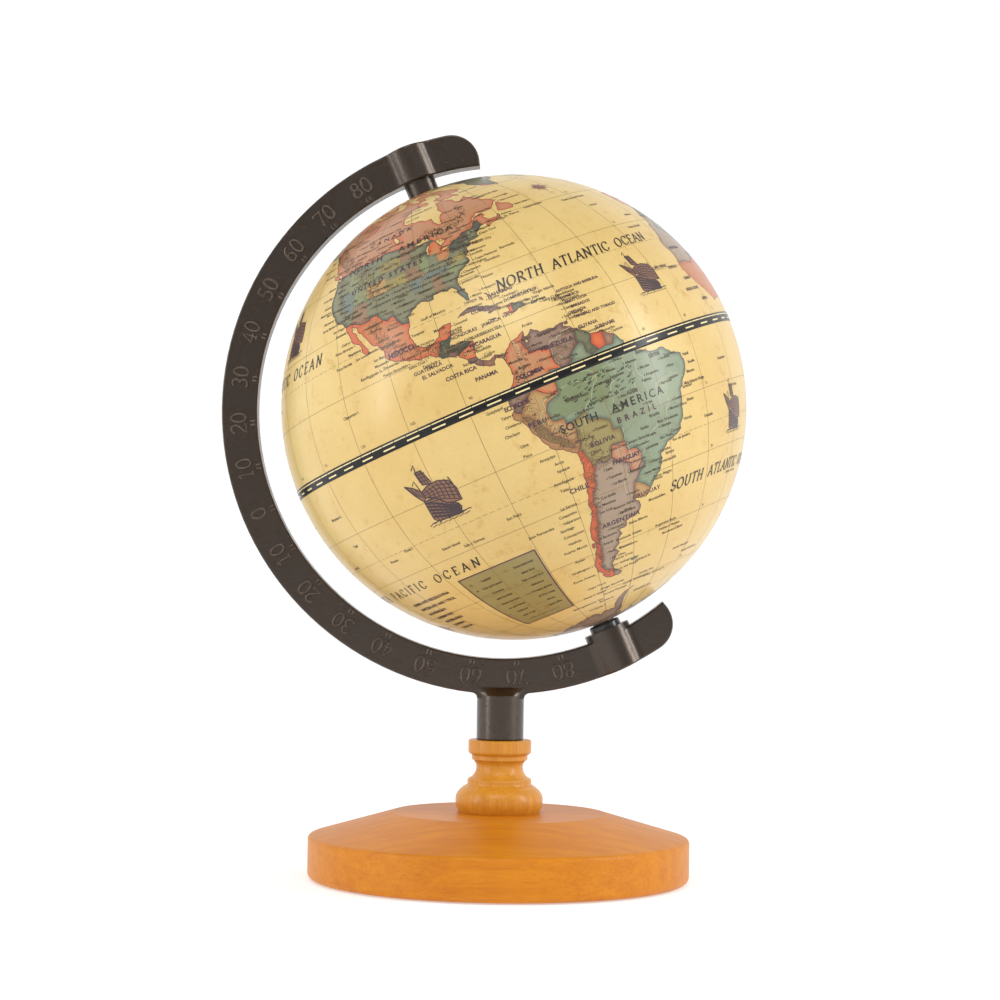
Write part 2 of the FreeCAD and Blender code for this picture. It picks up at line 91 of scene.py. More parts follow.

# ---- the land, as outlines drawn from general geography ----------------------------------------

# Each outline is "name tint: longitude latitude, ...".
LANDS = """
north_america canada: -168.6 65.6, -163 66.6, -162 66.2, -166 68.3, -163 69.4, -156.5 71.3, -150 70.4,
    -141 69.6, -136 69, -130 70.2, -128 70.5, -125 69.5, -119 69.2, -115 68, -108 67.6, -103 68, -98 67.8,
    -96 68.3, -95 71.9, -92 70.5, -90 69, -88 68.6, -86 67.6, -85 69.6, -81.8 69.2, -81.5 67.6, -86 66.2,
    -87 64.9, -90.5 63.8, -94 61, -94.7 59, -92.8 57, -88 56.5, -85 55.3, -82.3 55.1, -82 53, -80.5 51.4,
    -79 51.4, -79 54, -77 56, -78.3 58.5, -77.6 60.5, -77.6 62.4, -73.6 62.3, -70 61, -69.6 59, -67.5 58.4,
    -65.4 59.5, -64.5 60.3, -62 57.4, -60 55, -57.3 53.6, -55.8 52.3, -58.5 51.2, -60 50.2, -66.5 50.2,
    -69 48.9, -71 46.9, -68.5 48.4, -65 49.2, -64.4 48.4, -65.5 47.6, -64.7 46.2, -61.6 45.8, -60.3 46.9,
    -60.5 45.6, -63.5 44.6, -66 43.5, -66.2 44.4, -64.4 45.5, -67 45, -69 44.1, -70.7 43, -70.8 41.9,
    -69.9 41.8, -71.6 41.4, -74 40.9, -74.6 39.7, -75.8 39.4, -75.6 38.4, -76.6 37.1, -76.8 38.7, -77 36.9,
    -76.6 35.4, -78 34.7, -79.4 33.8, -81.6 31.9, -81.8 30.4, -81 28.3, -80.6 26.8, -80.8 25.2, -81.2 25.2,
    -82.2 26.9, -82.8 28, -82.7 29, -84 30.1, -85.3 29.7, -86.5 30.4, -89 30.3, -89.3 29.2, -90.4 29.1,
    -91.6 29.6, -94 29.6, -95.5 28.8, -97.2 27.6, -97.2 25.9, -97.8 22.5, -97.2 20.6, -96 19, -94.5 18.2,
    -92 18.6, -90.7 19.3, -90.4 21, -87 21.5, -87.6 19.4, -88.2 17.5, -88.9 15.9, -87.5 15.8, -86 15.9,
    -83.3 15, -83.6 13, -83.8 11.2, -82.5 9.4, -81 8.8, -79.6 9.6, -77.4 8.7, -77.9 7.2, -78.4 8.4,
    -79.5 8.9, -80.3 8.3, -80.4 7.4, -81.7 7.6, -82.9 8.2, -83.7 8.6, -84.7 9.7, -85.8 10.1, -85.8 11.1,
    -87.6 12.9, -89.5 13.4, -91.5 13.9, -94 16, -96.5 15.7, -99.5 16.7, -102 17.9, -104.5 19.1, -105.6 20.4,
    -105.4 21.8, -107 23.8, -109.4 25.7, -110.6 27.6, -112.3 29.3, -113.1 31.2, -114.8 31.8, -114.7 30.4,
    -112.8 28, -111.1 25.6, -109.5 23.1, -110.2 22.9, -112.1 24.7, -112.3 26, -114.2 27.2, -115 28,
    -116 30.3, -117.1 32.5, -118.5 34, -120.6 34.6, -122 36.8, -123.8 39.3, -124.3 40.4, -124.1 43.5,
    -124 46.2, -124.6 48.3, -122.6 47.4, -122.8 49, -125 50.3, -127.8 52, -130 54.5, -132 56.5, -135 58.5,
    -139.5 59.7, -144 60, -148 60.6, -151.5 59.3, -151.3 61, -154 59, -158 57, -162 55.2, -164.8 54.6,
    -161 56, -158 58.3, -162 58.7, -165 60.7, -165 62.7, -161 64.2, -165 64.4;
south_america sage: -77.4 8.7, -75.6 10.6, -74.8 11.1, -73.3 11.3, -71.7 12.4, -71.9 11, -71.4 10.8,
    -70.2 11.6, -69.8 12.1, -68.3 11, -68 10.5, -66 10.6, -64.6 10.2, -62 10.7, -62.5 9.9, -60.9 9.2,
    -60.2 8.4, -58.5 7.3, -57.2 6, -54 5.9, -51.7 4.2, -50 1.8, -50.4 0.4, -48.4 -0.8, -44.6 -2.5, -42 -2.8,
    -40 -2.8, -37.2 -4.8, -35.3 -5.3, -34.8 -7.5, -35.3 -9.3, -37.2 -11.3, -38.6 -13, -39 -16, -39.3 -17.8,
    -40 -20, -41.2 -22, -43.2 -23, -46 -23.9, -48.5 -25.9, -48.7 -28.4, -50.2 -30.3, -52.1 -32.2,
    -53.5 -33.8, -54.9 -34.9, -56.3 -34.8, -58.2 -34, -58.4 -34.7, -57.2 -35.5, -56.8 -36.6, -57.7 -38.2,
    -61 -39, -62.2 -39.2, -62.3 -40.7, -64.8 -41, -63.9 -42.4, -65.3 -43.3, -65.5 -45, -67.5 -46.1,
    -65.8 -47.4, -67.8 -49.6, -69 -51, -68.4 -52.4, -70.8 -53.2, -72.5 -53.6, -74.7 -51.6, -75.5 -48.5,
    -74.4 -46.7, -73.3 -44, -72.8 -42, -73.8 -40.6, -73.5 -39, -73.3 -37.2, -71.6 -33.5, -71.5 -30,
    -70.5 -26, -70.2 -22, -70.4 -18.4, -72 -17.2, -75.6 -15.2, -76.3 -13.9, -77.3 -12, -79 -8.2, -80 -6.5,
    -81.2 -5.7, -81.3 -4.5, -80 -3.3, -80.9 -2.2, -80.8 -1, -80 0.5, -78.9 1.4, -77.4 3.6, -77.5 5.5,
    -77.9 7.2;
eurasia ochre: -9.5 38.7, -8.9 37, -5.6 36, -2 36.8, 0 39, 3.2 42, 7.5 43.8, 10.5 42.5, 12.5 41.3, 15.7 40,
    16 38, 18 40.3, 13.7 43.6, 13.6 45.5, 19.3 41.8, 21 38, 23 36.5, 24 38, 23 40.5, 26.5 40.7, 29 41.2,
    28 43.5, 31 46.5, 33.5 44.5, 38.5 47, 37.5 44.8, 41.5 41.6, 36 41.6, 31 41.2, 27 40, 27 37, 30.5 36.3,
    36 36.7, 34.5 31.5, 34.9 29.5, 38 24, 42.7 16.5, 43.5 12.8, 52 15.6, 57.8 19, 59.8 22.5, 56.3 26,
    51.5 25.8, 48.5 30, 51 28.5, 57 27, 61.5 25.2, 67 24.8, 70.5 20.8, 72.8 20, 74.5 14, 77.5 8.1,
    80.2 13.5, 82 16.8, 87 21.3, 91 22.5, 94.2 18.5, 94.3 16, 97.5 16.5, 98.7 11, 98.3 8, 100.4 5.5,
    103.4 1.4, 103.5 4, 101 7, 99.5 10.5, 100.6 13.5, 102.8 12, 105 8.7, 109.2 12, 106 19, 108.5 21.6,
    113.7 22.2, 118.5 24.7, 121.8 30.5, 119.3 35, 122.3 37.2, 118 39, 122 39.2, 125 38.5, 126.4 34.5,
    129.3 36, 128 40, 131 43, 135.5 44.3, 140.5 49, 140.5 54, 135.3 54.7, 142 59.3, 151.5 59.4, 156 61.7,
    164 62.5, 156 57.5, 156.7 51.2, 162 55, 163 58.5, 170.5 60, 177.5 62.6, 179 65, 190.3 65.8, 180 69,
    170 70, 160 69.7, 150 71.5, 140 72.5, 130 71.5, 127 73.3, 114 73.7, 105 77.5, 95 76, 87 75, 81 72,
    75 72.5, 70 73, 68 69, 60 69, 54 68.3, 46 67.8, 44 66.3, 38 64.2, 34 66.7, 41 67, 32 69.7, 25.5 71,
    18 69.5, 12 65, 5.3 61.5, 5.7 58.7, 10.8 59.2, 12.5 56.2, 16.2 56.8, 18.8 60, 17.5 62, 22 65.8, 25.3 65,
    21.5 62, 22.5 60, 30 60, 23.5 59, 21 56.5, 19 54.4, 11 54, 10.5 57.5, 8.3 57, 8.5 53.8, 4 52, 1.6 50.3,
    -1.5 49.5, -4.7 48.4, -1.3 46, -1.8 43.4, -9.2 43;
africa blush: -6 35.8, -10 30.5, -13 27.8, -17 21.3, -16.3 17, -17.4 14.7, -16.6 12.3, -13.3 9, -9.5 6.2,
    -7.6 4.4, -2 5, 4.5 6.3, 6 4.3, 9.5 4, 9.4 0.8, 12 -5, 13.5 -10, 11.8 -17, 14.5 -22.5, 18 -32.5,
    20 -34.8, 25.7 -33.9, 30.8 -30.8, 35.5 -24, 35 -19.8, 40.6 -15, 39 -6.5, 42 -1.5, 48 4.5, 51.3 11.8,
    43.2 11.5, 37.3 18.5, 34 26.3, 32.6 29.9, 32.3 31.2, 25 31.7, 20 31, 19 30.3, 15.3 32.3, 10.5 34, 11 37,
    3 36.9, -2 35.1;
australia blush: 114 -22, 113.5 -26, 115.7 -32, 118 -35, 124 -33.2, 131.3 -31.5, 135.5 -34.8, 138.3 -34.5,
    140.5 -38, 146.3 -39, 150 -37.5, 153 -31.5, 153 -25.5, 146.5 -19, 145.3 -15, 142.5 -10.8, 141 -17,
    139 -17.3, 135.5 -14.8, 136.5 -12, 131 -12, 129 -15, 126 -14, 122.3 -18;
antarctica mauve_grey: -170 -84, -158 -78, -150 -77, -135 -74.5, -115 -74, -100 -72.5, -80 -73, -68 -72.5,
    -68 -69, -66 -66.5, -61 -64, -57.2 -63.3, -61 -65.2, -62.5 -68, -61 -73, -63 -77.5, -48 -78, -35 -78,
    -25 -75.5, -15 -72.5, 0 -70, 20 -70, 38 -69.5, 55 -66.5, 70 -68.5, 85 -66.5, 110 -66, 135 -66.3,
    150 -68.5, 165 -71, 164 -77.5, 185 -78.5, 192 -84, 192 -92, -170 -92;
vancouver canada: -128.2 50.7, -125.2 50, -123.3 48.5, -125.6 48.9;
newfoundland canada: -59.3 47.7, -58.4 49.2, -56.8 51.4, -55.5 50, -53.5 49.2, -52.7 47.5, -53.6 46.7,
    -56 47;
baffin canada: -61.5 66.6, -64.5 65, -68 65.7, -65 62, -71 62.4, -78 64.4, -73 65.5, -73 68.2, -78 70,
    -85 70, -89 71.3, -85 73.6, -80 73.7, -72 71.5, -67 69;
victoria canada: -117 69.9, -105 68.8, -101.5 69.9, -105 73, -115 73.2, -118 71.5;
banks canada: -125 72, -120.5 71.6, -117 73.6, -124 74.3;
ellesmere canada: -90 76.5, -79 76, -72 79, -64 81.5, -68 83.1, -85 82.3, -92 81, -87 79;
devon canada: -95 76.4, -90 74.6, -80 74.7, -81 75.7;
somerset canada: -101 73.8, -97 71.8, -94 72.2, -91 73.8, -96 74.1;
melville canada: -117 76, -108 75, -105 76.3, -113 77.2;
axel canada: -106 79, -98 76.6, -91 77.6, -95 80;
southampton canada: -87 64.2, -82 63.5, -80.5 64, -84.5 66;
greenland canada: -73 78.2, -67 80, -60 82, -45 82.8, -33 83.5, -22 82.3, -12 81.5, -19 79.5, -20 76.5,
    -19 74, -22 72, -23 70.3, -32 68, -40 65.3, -43 60, -48 61, -51.5 64, -53.5 67, -51 69.5, -54.5 71.5,
    -58 75, -65 76.1, -71 76.5;
iceland sage: -22.6 63.9, -18.5 63.4, -13.6 65, -16 66.5, -23.8 66.2, -22 64.8;
cuba sage: -84.9 21.9, -83 23, -81 23.2, -79 22.5, -77 21.8, -75.5 21, -74.2 20.2, -77.6 19.9, -77.2 20.7,
    -78.6 21, -81.6 22.2;
hispaniola sage: -74.4 18.4, -72.6 18.5, -72.8 19.9, -70 19.8, -68.4 18.6, -70.5 18.3, -71.5 17.7;
jamaica sage: -78.3 18.3, -76.3 18.1, -77.2 17.8;
puerto_rico sage: -67.2 18.4, -65.7 18.4, -65.8 18, -67.2 18;
trinidad sage: -61.8 10.7, -61 10.8, -61 10.1, -61.8 10.1;
andros sage: -78.4 25, -77.8 24.7, -77.6 23.8, -78.2 24.3;
eleuthera sage: -76.8 25.4, -76.2 25.1, -76.2 24.6;
tierra_del_fuego sage: -68.4 -52.7, -65.2 -54.7, -67 -55.5, -70 -55.2, -73.4 -53.3, -71 -53.8, -70 -52.8;
chiloe sage: -74.2 -41.9, -73.4 -42, -73.6 -43.3, -74.3 -43.2;
falklands sage: -61 -51.4, -58 -51.5, -59 -52.2, -61 -52.1;
galapagos sage: -91.4 0, -90.9 -0.2, -91 -1, -91.5 -0.8;
britain sage: -5.5 50.1, 1.3 51.2, 1.6 52.8, -1.5 55, -2 57.6, -5 58.6, -6 56.5, -3 54, -5 52;
ireland sage: -10 52, -6.3 52.2, -5.8 54.6, -8.5 55.2;
madagascar sage: 44 -25, 47 -25, 50.3 -15.5, 49.3 -12, 44.3 -17, 43.5 -22;
ceylon sage: 80 8, 81.8 7, 80.5 6, 80 9.7;
sumatra sage: 95.5 5.5, 104 -2, 106 -5.8, 102 -4;
java sage: 105.3 -6.8, 114.4 -8.4, 112 -6.8;
borneo sage: 109 1.5, 110.3 -2.8, 116 -3.7, 119 1, 117 6.9, 112.5 3.3;
celebes sage: 119.5 -5.3, 120.2 0.5, 125 1.4, 121 -0.5, 122.7 -4.8, 121 -3;
new_guinea sage: 131 -1, 138 -1.8, 147.5 -6, 150.5 -10.5, 143 -9, 138.5 -8.2, 133 -4;
luzon sage: 120.3 16, 121 18.5, 122.2 18.3, 124 13, 120.8 13.8;
mindanao sage: 122 7, 125.5 9.8, 126.3 7, 125.4 5.7;
honshu sage: 131 34, 135.5 33.6, 140.8 35.8, 141.9 39.5, 141.4 41.4, 140 39.8, 136.8 37.3;
hokkaido sage: 140 42, 143.3 42, 145.5 43.3, 141.8 45.4;
kyushu sage: 129.8 33, 131.5 31.3, 131.8 33.6;
sakhalin sage: 142 46, 143.5 49, 143 54, 142 53;
tasmania sage: 144.8 -41, 146.8 -43.6, 148.3 -41;
south_island sage: 166.6 -46, 169 -46.6, 174 -41.7, 172.7 -40.6;
north_island sage: 175 -41.5, 178.4 -37.8, 174.8 -36.7, 172.8 -34.5, 174.3 -38;
novaya_zemlya sage: 51.5 71.5, 57 70.7, 68 76.7, 60 76;
svalbard sage: 11 79, 17 76.7, 24 80"""


LAKES = """
superior sea: -91.4 46.9, -89.4 47.8, -87 48.4, -85 46.9, -87.5 46.9, -89.8 46.8;
michigan sea: -87.5 42, -86.7 42.4, -86.6 44, -85.7 45.7, -87 44.8, -87.5 43.5;
huron sea: -83.6 45.8, -81.4 45.8, -80.4 44.8, -81.9 43.8, -82.4 43.4, -82.9 44.4;
erie sea: -82.8 41.8, -80.4 42.1, -79.2 42.7, -81 42.5, -82.6 42.2;
ontario sea: -79.3 43.3, -76.8 43.5, -76.8 43.9, -79 43.7;
winnipeg sea: -97 50.6, -96.3 52, -98 53.8, -99 53.3, -97.8 51.5;
great_slave sea: -117 61.2, -110 62.6, -113 62.2;
great_bear sea: -124 65.3, -118 66, -121 67;
titicaca sea: -70 -15.4, -68.8 -16.3, -69.3 -16.4;
maracaibo sea: -71.9 10.7, -71.2 9.4, -72 9.3;
victoria_lake sea: 32 -2.5, 34 -0.5, 32.5 0.5;
caspian sea: 47.5 45, 52 46.8, 53 41, 54 37, 49.5 38, 50 40.5;
baikal sea: 104 51.6, 109.8 55.6, 108 52"""

# Countries and states are painted in this order over the land. An outline is exact only inland: where
# it runs out to sea the coast cuts it off. A state has no coloured rim.
COUNTRIES = """
alaska sage: -141 71, -141 60.3, -137.5 58.9, -135.5 59.7, -133 58, -130 56, -130 54.6, -145 52, -176 50,
    -176 73;
greenland moss: -74 77, -57 85, -8 84, -15 70, -42 58, -58 70, -60 75;
united_states states: -128 48.2, -123.2 48.7, -123 49, -110 49, -95.2 49, -94.6 48.7, -89.6 48, -88.2 48.4,
    -84.8 46.8, -83.6 45.9, -82.4 45.3, -82.4 43, -83.1 42.1, -82.4 41.7, -79 42.7, -79.1 43.5, -76.8 43.7,
    -74.7 45, -71.5 45, -70.3 45.9, -69.2 47.4, -68 47.3, -67.8 45.7, -66.9 44.8, -60 42, -70 34,
    -78.5 24.4, -84 24.4, -94 26.2, -97.1 25.9, -99.3 26.6, -101.3 29.7, -103.1 29, -104.6 29.8,
    -106.5 31.8, -108.2 31.8, -108.2 31.3, -111 31.3, -114.8 32.5, -117.2 32.5, -126 31;
mexico terracotta: -117.2 32.5, -114.8 32.5, -111 31.3, -108.2 31.3, -108.2 31.8, -106.5 31.8, -104.6 29.8,
    -103.1 29, -101.3 29.7, -99.3 26.6, -97.1 25.9, -93 25, -86 22.5, -87.4 18.4, -88.3 18.5, -89.1 17.9,
    -91 17.8, -91.4 16.1, -92.2 14.4, -95 12, -121 20;
guatemala teal: -92.2 14.4, -91.4 16.1, -91 17.8, -89.1 17.9, -87.6 18.4, -88.2 15.7, -89.4 14.4, -90.1 13,
    -93 12;
honduras teal_dark: -89.4 14.4, -88.2 15.8, -86 17, -82.8 15.6, -83.1 15, -85.2 14.1, -87.3 12.9;
salvador mauve: -89.4 14.4, -90.1 13.8, -90 12.6, -87.6 12.6, -87.6 13.8;
nicaragua orange: -87.8 12.8, -85.2 14.1, -83.1 15.1, -82 13, -83.7 10.9, -85.7 11.1, -88 11.5;
costa_rica mauve: -85.8 11.1, -83.7 10.9, -82 10.4, -82.7 9.5, -82.9 7.8, -87 9;
panama rose: -82.9 7.8, -82.6 9.8, -79 10.6, -77.2 8.8, -77.9 7, -82 6;
cuba mauve: -86 21, -83 24, -73 21, -74 19.3, -79 20;
haiti terracotta: -75.5 18, -75 20.5, -71.7 20.3, -71.8 17.4;
dominica moss: -71.7 20.3, -67.5 20, -67.5 17.4, -71.8 17.4;
bahamas orange: -79 26, -75 26, -75 23.5, -79 23.5;
colombia salmon: -71.1 12.6, -72.2 11.2, -73 9.8, -72.4 8.2, -72 7, -70 6.9, -67.5 6.2, -67.8 3.6,
    -66.9 1.2, -69.8 1.7, -69.9 0.6, -70 -0.2, -69.5 -1.4, -69.9 -4.2, -73 -2.4, -75.3 -0.1, -77.5 0.4,
    -79.2 1.5, -82 4, -77.9 7.1, -77.2 8.8, -78 12;
venezuela mauve: -71.1 12.6, -72.2 11.2, -73 9.8, -72.4 8.2, -72 7, -70 6.9, -67.5 6.2, -67.8 3.6,
    -66.9 1.2, -66 0.8, -64.1 1.6, -63.4 2.2, -64.1 2.4, -62.8 3.7, -60.7 5, -61.2 5.9, -60.6 7.4,
    -59.8 8.3, -61 13, -69 14;
guyana moss: -59.8 8.4, -60.6 7.4, -61.2 5.9, -60.7 5, -60 4.9, -59.8 2.6, -58.9 1.3, -56.6 1.9, -58 4,
    -57.2 5.4, -57 8;
suriname flame: -57.2 7, -57.2 5.4, -58 4, -56.6 1.9, -54.7 2.3, -54.4 3.7, -53.9 6.5;
guiane rose: -53.9 6.5, -54.4 3.7, -54.7 2.3, -52.9 2.1, -51.5 4.3, -52 6;
ecuador mauve: -79.2 1.5, -77.5 0.4, -75.3 -0.1, -75.6 -1.6, -77.8 -3, -78.4 -4.2, -79.2 -5, -80.4 -4.4,
    -80.3 -3.4, -84 -3, -84 1.4;
galapagos mauve: -93 1, -89 1, -89 -2, -93 -2;
peru ochre: -80.3 -3.4, -80.4 -4.4, -79.2 -5, -78.4 -4.2, -77.8 -3, -75.6 -1.6, -75.3 -0.1, -73 -2.4,
    -69.9 -4.2, -72.9 -5.1, -73.8 -7.3, -73.1 -9.4, -70.6 -9.6, -70.6 -11, -69.5 -11, -68.8 -12.7,
    -69.2 -15, -69 -16.4, -69.6 -17.6, -70.4 -18.4, -76 -20, -86 -8;
andes_peru umber: -79.4 -6, -77.8 -6.4, -76 -9.6, -74.4 -12.4, -71.4 -14.6, -70.4 -16.8, -72.4 -16,
    -75.4 -13.6, -77.6 -10;
chile flame: -74 -18.3, -70.4 -18.4, -69.6 -17.6, -66 -22, -67 -30, -66 -57, -80 -57;
bolivia olive: -69.5 -11, -65.4 -9.8, -65.3 -11.9, -60.5 -13.8, -60.2 -16.2, -58.3 -16.3, -58.1 -19.8,
    -61.8 -19.6, -62.6 -22.2, -64.4 -22.8, -66.3 -21.8, -67.8 -22.8, -68.7 -19.8, -69.6 -17.6, -69 -16.4,
    -69.2 -15, -68.8 -12.7;
paraguay blush: -62.6 -22.2, -61.8 -19.6, -58.1 -19.8, -57.9 -22.1, -55.7 -22.3, -54.3 -24, -54.6 -25.6,
    -56 -27.3, -58.6 -27.3, -57.7 -25.3, -61 -23.8;
argentina mauve_grey: -66.3 -21.8, -64.4 -22.8, -62.6 -22.2, -61 -23.8, -57.7 -25.3, -58.6 -27.3, -56 -27.3,
    -54.6 -25.6, -53.7 -26.6, -55.8 -28.3, -57.6 -30.2, -58.2 -33, -58.4 -34.3, -53 -36.5, -60 -50,
    -64 -55.5, -68.6 -55.4, -68.6 -52.6, -72 -52, -73.2 -50, -72 -47.5, -71.7 -44.5, -71.8 -41, -70.8 -36.4,
    -70 -33.3, -70.4 -31, -69.6 -28.5, -68.4 -26.9, -68.3 -24.5, -67.2 -22.9;
uruguay ochre: -57.6 -30.2, -56 -30.9, -53.4 -32.8, -52.8 -34, -55 -36.5, -58.7 -34.2, -58.2 -33;
west_europe terracotta: -12 60, -12 35, 3 35, 8 44, 6 52, -2 61;
iberia orange: -12 44, -12 34, 0 36, 4 42.6, -2 43.4;
mid_europe olive: 6 52, 8 44, 14 36, 24 34, 30 46, 22 55, 12 60, 4 66, 8 73, 32 73, 28 60;
russia salmon: 28 60, 32 73, 60 82, 110 80, 192 72, 192 62, 150 45, 132 42, 128 50, 116 50, 88 49, 70 55,
    50 50, 38 47, 30 50;
china ochre: 74 39, 80 31, 92 27, 100 21, 108 20, 124 22, 124 39, 132 45, 128 50, 116 44, 100 42, 90 46,
    82 45;
mongolia rose: 88 49, 98 52, 116 50, 116 46, 104 42, 94 44;
steppe sage: 50 50, 70 55, 88 49, 80 42, 66 42, 54 41, 50 45;
india terracotta: 68 24, 74 34, 80 30, 88 27, 97 28, 92 20, 84 12, 78 4, 68 14;
persia olive: 44 39, 50 37, 61 37, 70 36, 68 24, 58 24, 48 30;
arabia blush: 35 33, 48 30, 60 24, 56 12, 42 11;
anatolia orange: 25 42, 44 42, 44 37, 26 35;
indochina moss: 97 26, 108 21, 112 8, 100 0, 95 12;
sahara_west mauve_grey: -19 29, -4 36, -2 30, 4 20, -8 15, -19 15;
algeria sage: -4 37, 10 38, 12 24, 4 19, -8 27, -2 31;
libya orange: 10 34, 25 33, 25 20, 12 23;
egypt blush: 25 33, 36 31, 37 22, 25 22;
sudan olive: 25 22, 38 22, 36 8, 24 5, 22 14;
west_africa terracotta: -19 15, -8 15, 4 19, 4 4, -10 3;
niger mauve: 4 19, 12 23, 25 20, 22 14, 14 4, 4 4;
congo moss: 9 4, 24 5, 31 2, 30 -12, 12 -6;
horn rose: 36 8, 38 18, 54 12, 42 -3, 34 3;
east_africa ochre: 31 2, 42 -3, 42 -14, 30 -12;
angola flame: 10 -6, 30 -9, 24 -18, 10 -18;
south_africa sage: 14 -24, 26 -22, 34 -24, 32 -36, 16 -36;
zambezi salmon: 24 -12, 36 -12, 42 -16, 34 -26, 24 -20;
new_guinea moss: 128 1, 152 0, 154 -12, 140 -10, 128 -6;
islands rose: 94 8, 128 10, 128 -10, 94 -10;
japan mauve: 127 30, 132 42, 139 47, 148 46, 142 33;
west_australia terracotta: 112 -20, 129 -10, 129 -36, 112 -36;
east_australia ochre: 138 -10, 156 -10, 156 -46, 141 -40, 141 -26, 138 -26;
zealand sage: 164 -33, 180 -33, 180 -50, 164 -50;
antarctica mauve_grey: -170 -60, 192 -60, 192 -92, -170 -92"""

STATES = """
washington states: -125 49, -117 49, -117 46, -124.5 46;
idaho grass: -117 49, -116 49, -114 46, -111 44.6, -111 42, -117 42;
california states: -125 42, -120 42, -120 39, -114.6 35, -114.6 32.6, -118 31, -126 38;
nevada slate: -120 42, -114 42, -114 36.1, -114.6 35, -120 39;
utah grass: -114 42, -111 42, -111 41, -109 41, -109 37, -114 37;
arizona rose: -114 37, -109 37, -109 31, -114.8 32.5, -114.6 35;
wyoming grass: -111 45, -104 45, -104 41, -111 41;
colorado ochre: -109 41, -102 41, -102 37, -109 37;
dakota olive: -104 46, -96.5 46, -96.5 42.8, -104 43;
kansas mustard: -102 40, -95 40, -94.6 37, -102 37;
oklahoma states: -103 37, -94.6 37, -94.4 33.8, -100 34.5, -100 36.5, -103 36.5;
texas states: -106.5 32, -103 32, -103 36.5, -100 36.5, -100 34.5, -94.2 33.4, -93.6 30, -94 28, -98 25,
    -103 28;
minnesota rose: -97 49, -94 49, -90 47.4, -92.8 45, -91.3 43.5, -96.5 43.5;
iowa states: -96.5 43.5, -91.3 43.5, -90.2 41.8, -91.5 40.5, -95.8 40.6;
missouri rose: -95.8 40.6, -91.5 40.5, -89.4 36.5, -94.6 36.5;
arkansas slate: -94.6 36.5, -90 36.4, -91 33, -94 33;
wisconsin states: -92.8 46.6, -90 46.4, -87.6 45, -87.8 42.5, -90.6 42.5, -92.8 45;
illinois grass: -90.6 42.5, -87.6 42.5, -87.6 38, -89.2 37, -91.5 40.5;
michigan_state orange: -86.6 41.8, -83.2 41.7, -82.4 43, -84 46, -87 45;
indiana states: -87.5 41.7, -84.8 41.7, -84.8 39, -87.9 38;
ohio orange: -84.8 41.7, -80.5 42, -80.5 40.5, -82 38.5, -84.8 39;
tennessee slate: -89.6 36.5, -81.7 36.6, -84 35, -90.2 35;
mississippi states: -91 35, -88.1 35, -88.4 30, -89.7 31, -91.4 31;
alabama rose: -88.2 35, -85.6 35, -85 31, -88.4 30.4;
georgia states: -85.6 35, -83.1 35, -80.8 32, -82 30.5, -85 31;
carolina grass: -84 35, -81.7 36.5, -75.5 36.5, -75 35, -79 32.8, -80.8 32, -83.1 35;
virginia mustard: -83.6 36.6, -75 36.6, -76 38, -78.4 39.4, -81 37.4;
pennsylvania slate_dark: -80.5 42, -75.3 42, -74.8 40.2, -75.5 39.7, -80.5 39.7;
new_york slate_dark: -79.7 42.3, -79 43.4, -76 44, -74.7 45, -73.4 45, -73.5 41, -75.3 42;
maine slate_dark: -71 45.3, -69 47.6, -67.8 46, -67 44.6, -70.8 43;
amazonas moss_dark: -73.8 -7.3, -69.9 -4.2, -69.5 1, -66.9 1.2, -64 2.2, -58.9 1.3, -56.2 -2.4, -58.4 -8.8,
    -64 -9, -70.6 -9.6;
mato_grosso sage: -61.6 -8.8, -58.4 -8.8, -50.3 -9.8, -52.5 -16, -57.8 -18, -60.2 -15.6, -60.5 -13.8;
bahia sage_light: -46.2 -10, -43 -9, -39 -9, -36 -11.5, -38 -18, -42 -15, -46.2 -15;
minas sage: -46.2 -15, -42 -15, -39.8 -18, -41.8 -21, -47 -22, -50.8 -19.8, -47.4 -18"""

# (fill, rim) of each tint.
TINTS = {
    "sea": ((221, 193, 126), (221, 193, 126)),
    "canada": ((190, 140, 107), (206, 112, 82)),
    "states": ((132, 134, 110), (86, 92, 80)),
    "sage": ((136, 150, 126), (98, 118, 104)),
    "sage_light": ((144, 157, 132), (98, 118, 104)),
    "grass": ((140, 148, 114), (86, 92, 80)),
    "slate": ((120, 132, 126), (86, 92, 80)),
    "slate_dark": ((92, 98, 90), (76, 80, 72)),
    "moss": ((116, 118, 94), (86, 92, 76)),
    "moss_dark": ((126, 140, 108), (94, 110, 88)),
    "teal": ((80, 92, 78), (64, 78, 68)),
    "teal_dark": ((78, 84, 68), (58, 68, 58)),
    "terracotta": ((194, 126, 84), (212, 100, 68)),
    "salmon": ((190, 138, 102), (208, 104, 66)),
    "orange": ((192, 136, 94), (214, 104, 62)),
    "flame": ((208, 108, 64), (192, 84, 52)),
    "mauve": ((146, 120, 104), (112, 84, 78)),
    "mauve_grey": ((163, 143, 124), (128, 106, 96)),
    "rose": ((150, 124, 100), (140, 94, 80)),
    "blush": ((186, 144, 114), (176, 106, 82)),
    "ochre": ((182, 150, 102), (166, 116, 76)),
    "umber": ((134, 108, 70), (134, 108, 70)),
    "olive": ((154, 143, 94), (124, 110, 68)),
    "mustard": ((160, 148, 96), (118, 114, 74)),
}
RIM_WIDTH = 1.15

